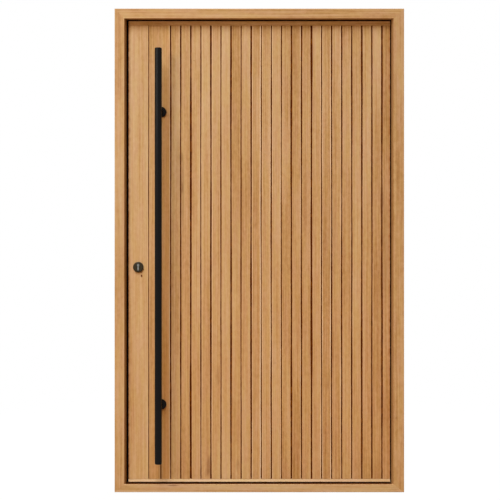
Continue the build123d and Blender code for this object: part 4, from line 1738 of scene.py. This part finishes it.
@dataclass
class Studio:
    """Camera, soft lights, white surroundings and a pale floor.

    Attributes:
        eye: Where the camera stands.
        lens: Its lens, in millimetres on a 36 mm sensor.
        sky_turn: How far to the left the broad key light stands, in degrees.
        sky_rise: How high it stands, in degrees.
        sky_width: How wide it looks, in degrees.
        sky_power: Its strength.
        sky_colour: Its colour.
        side_place: Where the weaker lamp on the left stands.
        side_aim: What it points at.
        side_size: How wide it is.
        side_power: Its power, in watts.
        side_colour: Its colour.
        back_turn: The direction of the light on the back, in degrees from the front to the right.
        back_rise: How high it stands, in degrees.
        back_width: How wide it looks, in degrees.
        back_power: Its strength.
        back_colour: Its colour.
        air_colour: The light from all around.
        air_strength: Its strength.
        floor_colour: The pale floor's paint.
        floor_bounce: How much of the light that falls on the floor it throws at the object.
    """

    eye: Triple = (-0.0427, -4.56, 1.1044)
    lens: float = 71.07
    sky_turn: float = 14.0
    sky_rise: float = 57.0
    sky_width: float = 29.0
    sky_power: float = 3.73
    sky_colour: Colour = (0.845, 0.985, 1.13)
    side_place: Triple = (-3.0, -3.0, 2.9)
    side_aim: Triple = (-0.3, 0.0, 1.4)
    side_size: float = 1.4
    side_power: float = 60.0
    side_colour: Colour = (0.9, 0.87, 0.8)
    back_turn: float = 140.0
    back_rise: float = 42.0
    back_width: float = 50.0
    back_power: float = 3.5
    back_colour: Colour = (0.93, 0.98, 1.02)
    air_colour: Colour = (1.0, 0.57, 0.2)
    air_strength: float = 0.215
    floor_colour: Colour = (0.8, 0.78, 0.75)
    floor_bounce: Colour = (0.27, 0.17, 0.08)

    def camera(self) -> None:
        """Stand the camera where the photograph was taken from."""
        data = bpy.data.cameras.new("camera")
        data.lens = self.lens
        data.sensor_width = 36.0
        made = linked("camera", data)
        made.location = self.eye
        made.rotation_euler = (math.pi / 2, 0.0, 0.0)
        bpy.context.scene.camera = made

    def broad_light(
        self, name: str, turn: float, rise: float, width: float, power: float, colour: Colour
    ) -> None:
        """Light the door from a broad patch of sky.

        Args:
            name: The light's name.
            turn: The patch's direction, in degrees from straight in front towards the right.
            rise: How high it stands, in degrees.
            width: How wide it looks, in degrees.
            power: Its strength.
            colour: Its colour.
        """
        data = bpy.data.lights.new(name, "SUN")
        data.angle = math.radians(width)
        data.energy = power
        data.color = colour
        made = linked(name, data)
        made.rotation_euler = (math.radians(90.0 - rise), 0.0, math.radians(turn))

    def side_light(self) -> None:
        """Stand a weaker soft lamp on the left, whose light falls off towards the hinge side."""
        data = bpy.data.lights.new("side", "AREA")
        data.shape = "DISK"
        data.size = self.side_size
        data.energy = self.side_power
        data.color = self.side_colour
        made = linked("side", data)
        made.location = self.side_place
        way = Vector(self.side_place) - Vector(self.side_aim)
        made.rotation_euler = way.to_track_quat("Z", "Y").to_euler()

    def seen_directly(self, tree: bpy.types.NodeTree) -> Socket:
        """Add nodes that give 1 for camera, glossy and transmission rays, and 0 for others.

        Args:
            tree: The node tree they go into.

        Returns:
            That number.
        """
        path = tree.nodes.new("ShaderNodeLightPath")
        total = path.outputs["Is Camera Ray"]
        for name in ("Is Glossy Ray", "Is Transmission Ray"):
            node = tree.nodes.new("ShaderNodeMath")
            node.operation = "MAXIMUM"
            tree.links.new(total, node.inputs[0])
            tree.links.new(path.outputs[name], node.inputs[1])
            total = node.outputs[0]
        return total

    def air(self) -> None:
        """Fill the surroundings: white where they are seen, and a dim warm light otherwise."""
        world = bpy.data.worlds.new("air")
        bpy.context.scene.world = world
        world.use_nodes = True
        tree = world.node_tree
        fill = tree.nodes["Background"]
        fill.inputs["Color"].default_value = (*self.air_colour, 1.0)
        fill.inputs["Strength"].default_value = self.air_strength
        white = tree.nodes.new("ShaderNodeBackground")
        white.inputs["Color"].default_value = (1.0, 1.0, 1.0, 1.0)
        white.inputs["Strength"].default_value = 1.0
        mix = tree.nodes.new("ShaderNodeMixShader")
        tree.links.new(self.seen_directly(tree), mix.inputs[0])
        tree.links.new(fill.outputs[0], mix.inputs[1])
        tree.links.new(white.outputs[0], mix.inputs[2])
        tree.links.new(mix.outputs[0], tree.nodes["World Output"].inputs["Surface"])

    def floor(
        self, half: float = 12.0, near_share: float = 0.94, fade: tuple[float, float] = (0.8, 3.0)
    ) -> None:
        """Lay a pale floor that keeps a faint shadow of the object and is white farther off.

        Args:
            half: Half its width.
            near_share: How much of its white is there without light, beside the object.
            fade: The distances from the object between which that share grows to 1.
        """
        mesh = bpy.data.meshes.new("floor")
        corners = [(-half, -half, 0.0), (half, -half, 0.0), (half, half, 0.0), (-half, half, 0.0)]
        mesh.from_pydata(corners, [], [(0, 1, 2, 3)])
        made = linked("floor", mesh)
        sheet = NodeSheet("floor_paint")
        seen = self.seen_directly(sheet.tree)
        paint = sheet.mix(seen, self.floor_bounce, self.floor_colour)
        sheet.feed(sheet.shader.inputs["Base Color"], paint)
        sheet.shader.inputs["Roughness"].default_value = 0.9
        sheet.shader.inputs["Specular IOR Level"].default_value = 0.0
        glow = sheet.add("ShaderNodeEmission")
        place = sheet.add("ShaderNodeTexCoord").outputs["Object"]
        far = sheet.spread(sheet.length(place), *fade, near_share, 1.0)
        share = sheet.calc("MULTIPLY", seen, far)
        mix = sheet.add("ShaderNodeMixShader")
        sheet.feed(mix.inputs[0], share)
        sheet.tree.links.new(sheet.shader.outputs[0], mix.inputs[1])
        sheet.tree.links.new(glow.outputs[0], mix.inputs[2])
        output = sheet.tree.nodes["Material Output"]
        sheet.tree.links.new(mix.outputs[0], output.inputs["Surface"])
        mesh.materials.append(sheet.material)

    def build(self) -> None:
        """Set up the camera, the lights and the floor."""
        self.camera()
        self.broad_light(
            "sky", -self.sky_turn, self.sky_rise, self.sky_width, self.sky_power, self.sky_colour
        )
        self.broad_light(
            "back", self.back_turn, self.back_rise, self.back_width, self.back_power, self.back_colour
        )
        self.side_light()
        self.air()
        self.floor()
        bpy.context.scene.view_settings.view_transform = "Standard"


def marks_in_mm(*rows: tuple[float, ...]) -> tuple[Mark, ...]:
    """Turn rows of x, z, half width and half height in millimetres, and strength, into marks."""
    return tuple(Mark(*(length * MM for length in lengths), strength) for *lengths, strength in rows)


def outer_boards() -> LeafFace:
    """Set up the outer boards with the knots, tints, painted edge highlights and painted bar shadow
    that each of them shows.

    Returns:
        The outer face, ready to build.
    """
    marks = marks_in_mm(
        (-540.0, 985.6, 5.4, 8.6, 1.0),
        (-538.5, 1001.0, 2.6, 15.0, 0.3),
        (-299.6, 1973.0, 2.6, 3.6, 0.5),
        (-230.0, 114.0, 15.0, 62.0, 0.38),
        (-241.0, 84.0, 11.0, 26.0, 0.2),
        (-352.0, 1375.0, 12.0, 230.0, 0.26),
        (-359.0, 1531.0, 12.0, 34.0, 0.32),
        (-356.0, 1389.0, 11.0, 38.0, 0.32),
        (-369.0, 1500.0, 21.0, 210.0, 0.15),
        (563.0, 1334.0, 12.0, 85.0, 0.3),
        (315.0, 490.0, 7.0, 48.0, 0.22),
        (-190.0, 521.0, 15.0, 58.0, 0.14),
        (-98.0, 118.0, 14.0, 38.0, 0.18),
        (578.0, 1104.0, 24.0, 330.0, 0.17),
        (331.0, 1104.0, 36.0, 280.0, 0.08),
        (-105.0, 1104.0, 18.0, 280.0, 0.07),
        (72.0, 586.0, 11.0, 5.0, 0.14),
        (99.5, 1512.6, 12.0, 3.0, 0.12),
    )
    tints = {
        0: 1.3, 1: -0.3, 2: 0.05, 3: 0.45, 4: 0.1, 5: 0.8, 6: 0.5, 7: 1.1,
        8: -0.3, 9: 0.35, 10: 0.05, 11: 0.15, 12: 0.55, 13: 0.0, 14: -0.45, 15: -0.1,
        16: 0.95, 17: -0.3, 18: -0.25, 19: 0.2, 20: 0.25, 21: 0.6, 22: 0.0, 23: -0.85,
    }
    edges = {
        1: (0.1, 0.7), 4: (0.2, 0.3), 5: (0.4, 0.1), 6: (0.5, 0.1), 10: (0.5, 1.8), 11: (0.4, 0.7),
        12: (0.4, 0.6), 14: (0.1, 0.5), 16: (0.2, 0.6), 17: (0.6, 0.9), 18: (0.2, 0.5), 19: (0.1, 0.3),
    }
    falls = {
        0: 0.25, 3: 0.7, 4: -0.4, 5: 1.1, 7: 0.4, 8: -0.6, 11: 0.5, 13: 0.7, 15: 0.4,
        16: 1.2, 17: 0.7, 19: -0.1, 20: 0.5, 21: 1.0, 22: 0.7, 23: -0.3,
    }
    finish = TimberFinish("outer_board_timber", marks=marks)
    return LeafFace(
        Side.OUTER, seed=11, finish=finish, tints=tints, falls=falls, edges=edges,
        # The bar board's right side gets painted light and a painted warm shadow beside the pull bar.
        patterns={0: 57}, bar_shadow_paint={1: (1.7, 1.5)},
    )


def main() -> None:
    """Build the door's pieces in order and light them."""
    logging.basicConfig(level=logging.INFO, format="%(message)s")
    Studio().build()
    outer_boards().build()
    inner_finish = TimberFinish("inner_board_timber", shift=(0.7, 0.3, 0.5))
    LeafFace(Side.INNER, seed=29, finish=inner_finish).build()
    coat = CoatedFinish("black_coat", linear(13, 10, 8), roughness=0.32, specular=0.1)
    PullBar(Side.OUTER, coat).build()
    PullBar(Side.INNER, coat).build()
    bronze = CoatedFinish(
        "dark_bronze", linear(52, 41, 22), metallic=0.5, roughness=0.42,
        grain=(700.0, 700.0, 700.0), specular=0.3,
    )
    nickel = CoatedFinish("cylinder_nickel", linear(166, 163, 154), metallic=1.0, roughness=0.3)
    LockSet(bronze, nickel).build()
    BrushSeals().build()
    Dressing().build()


if __name__ == "__main__":
    main()
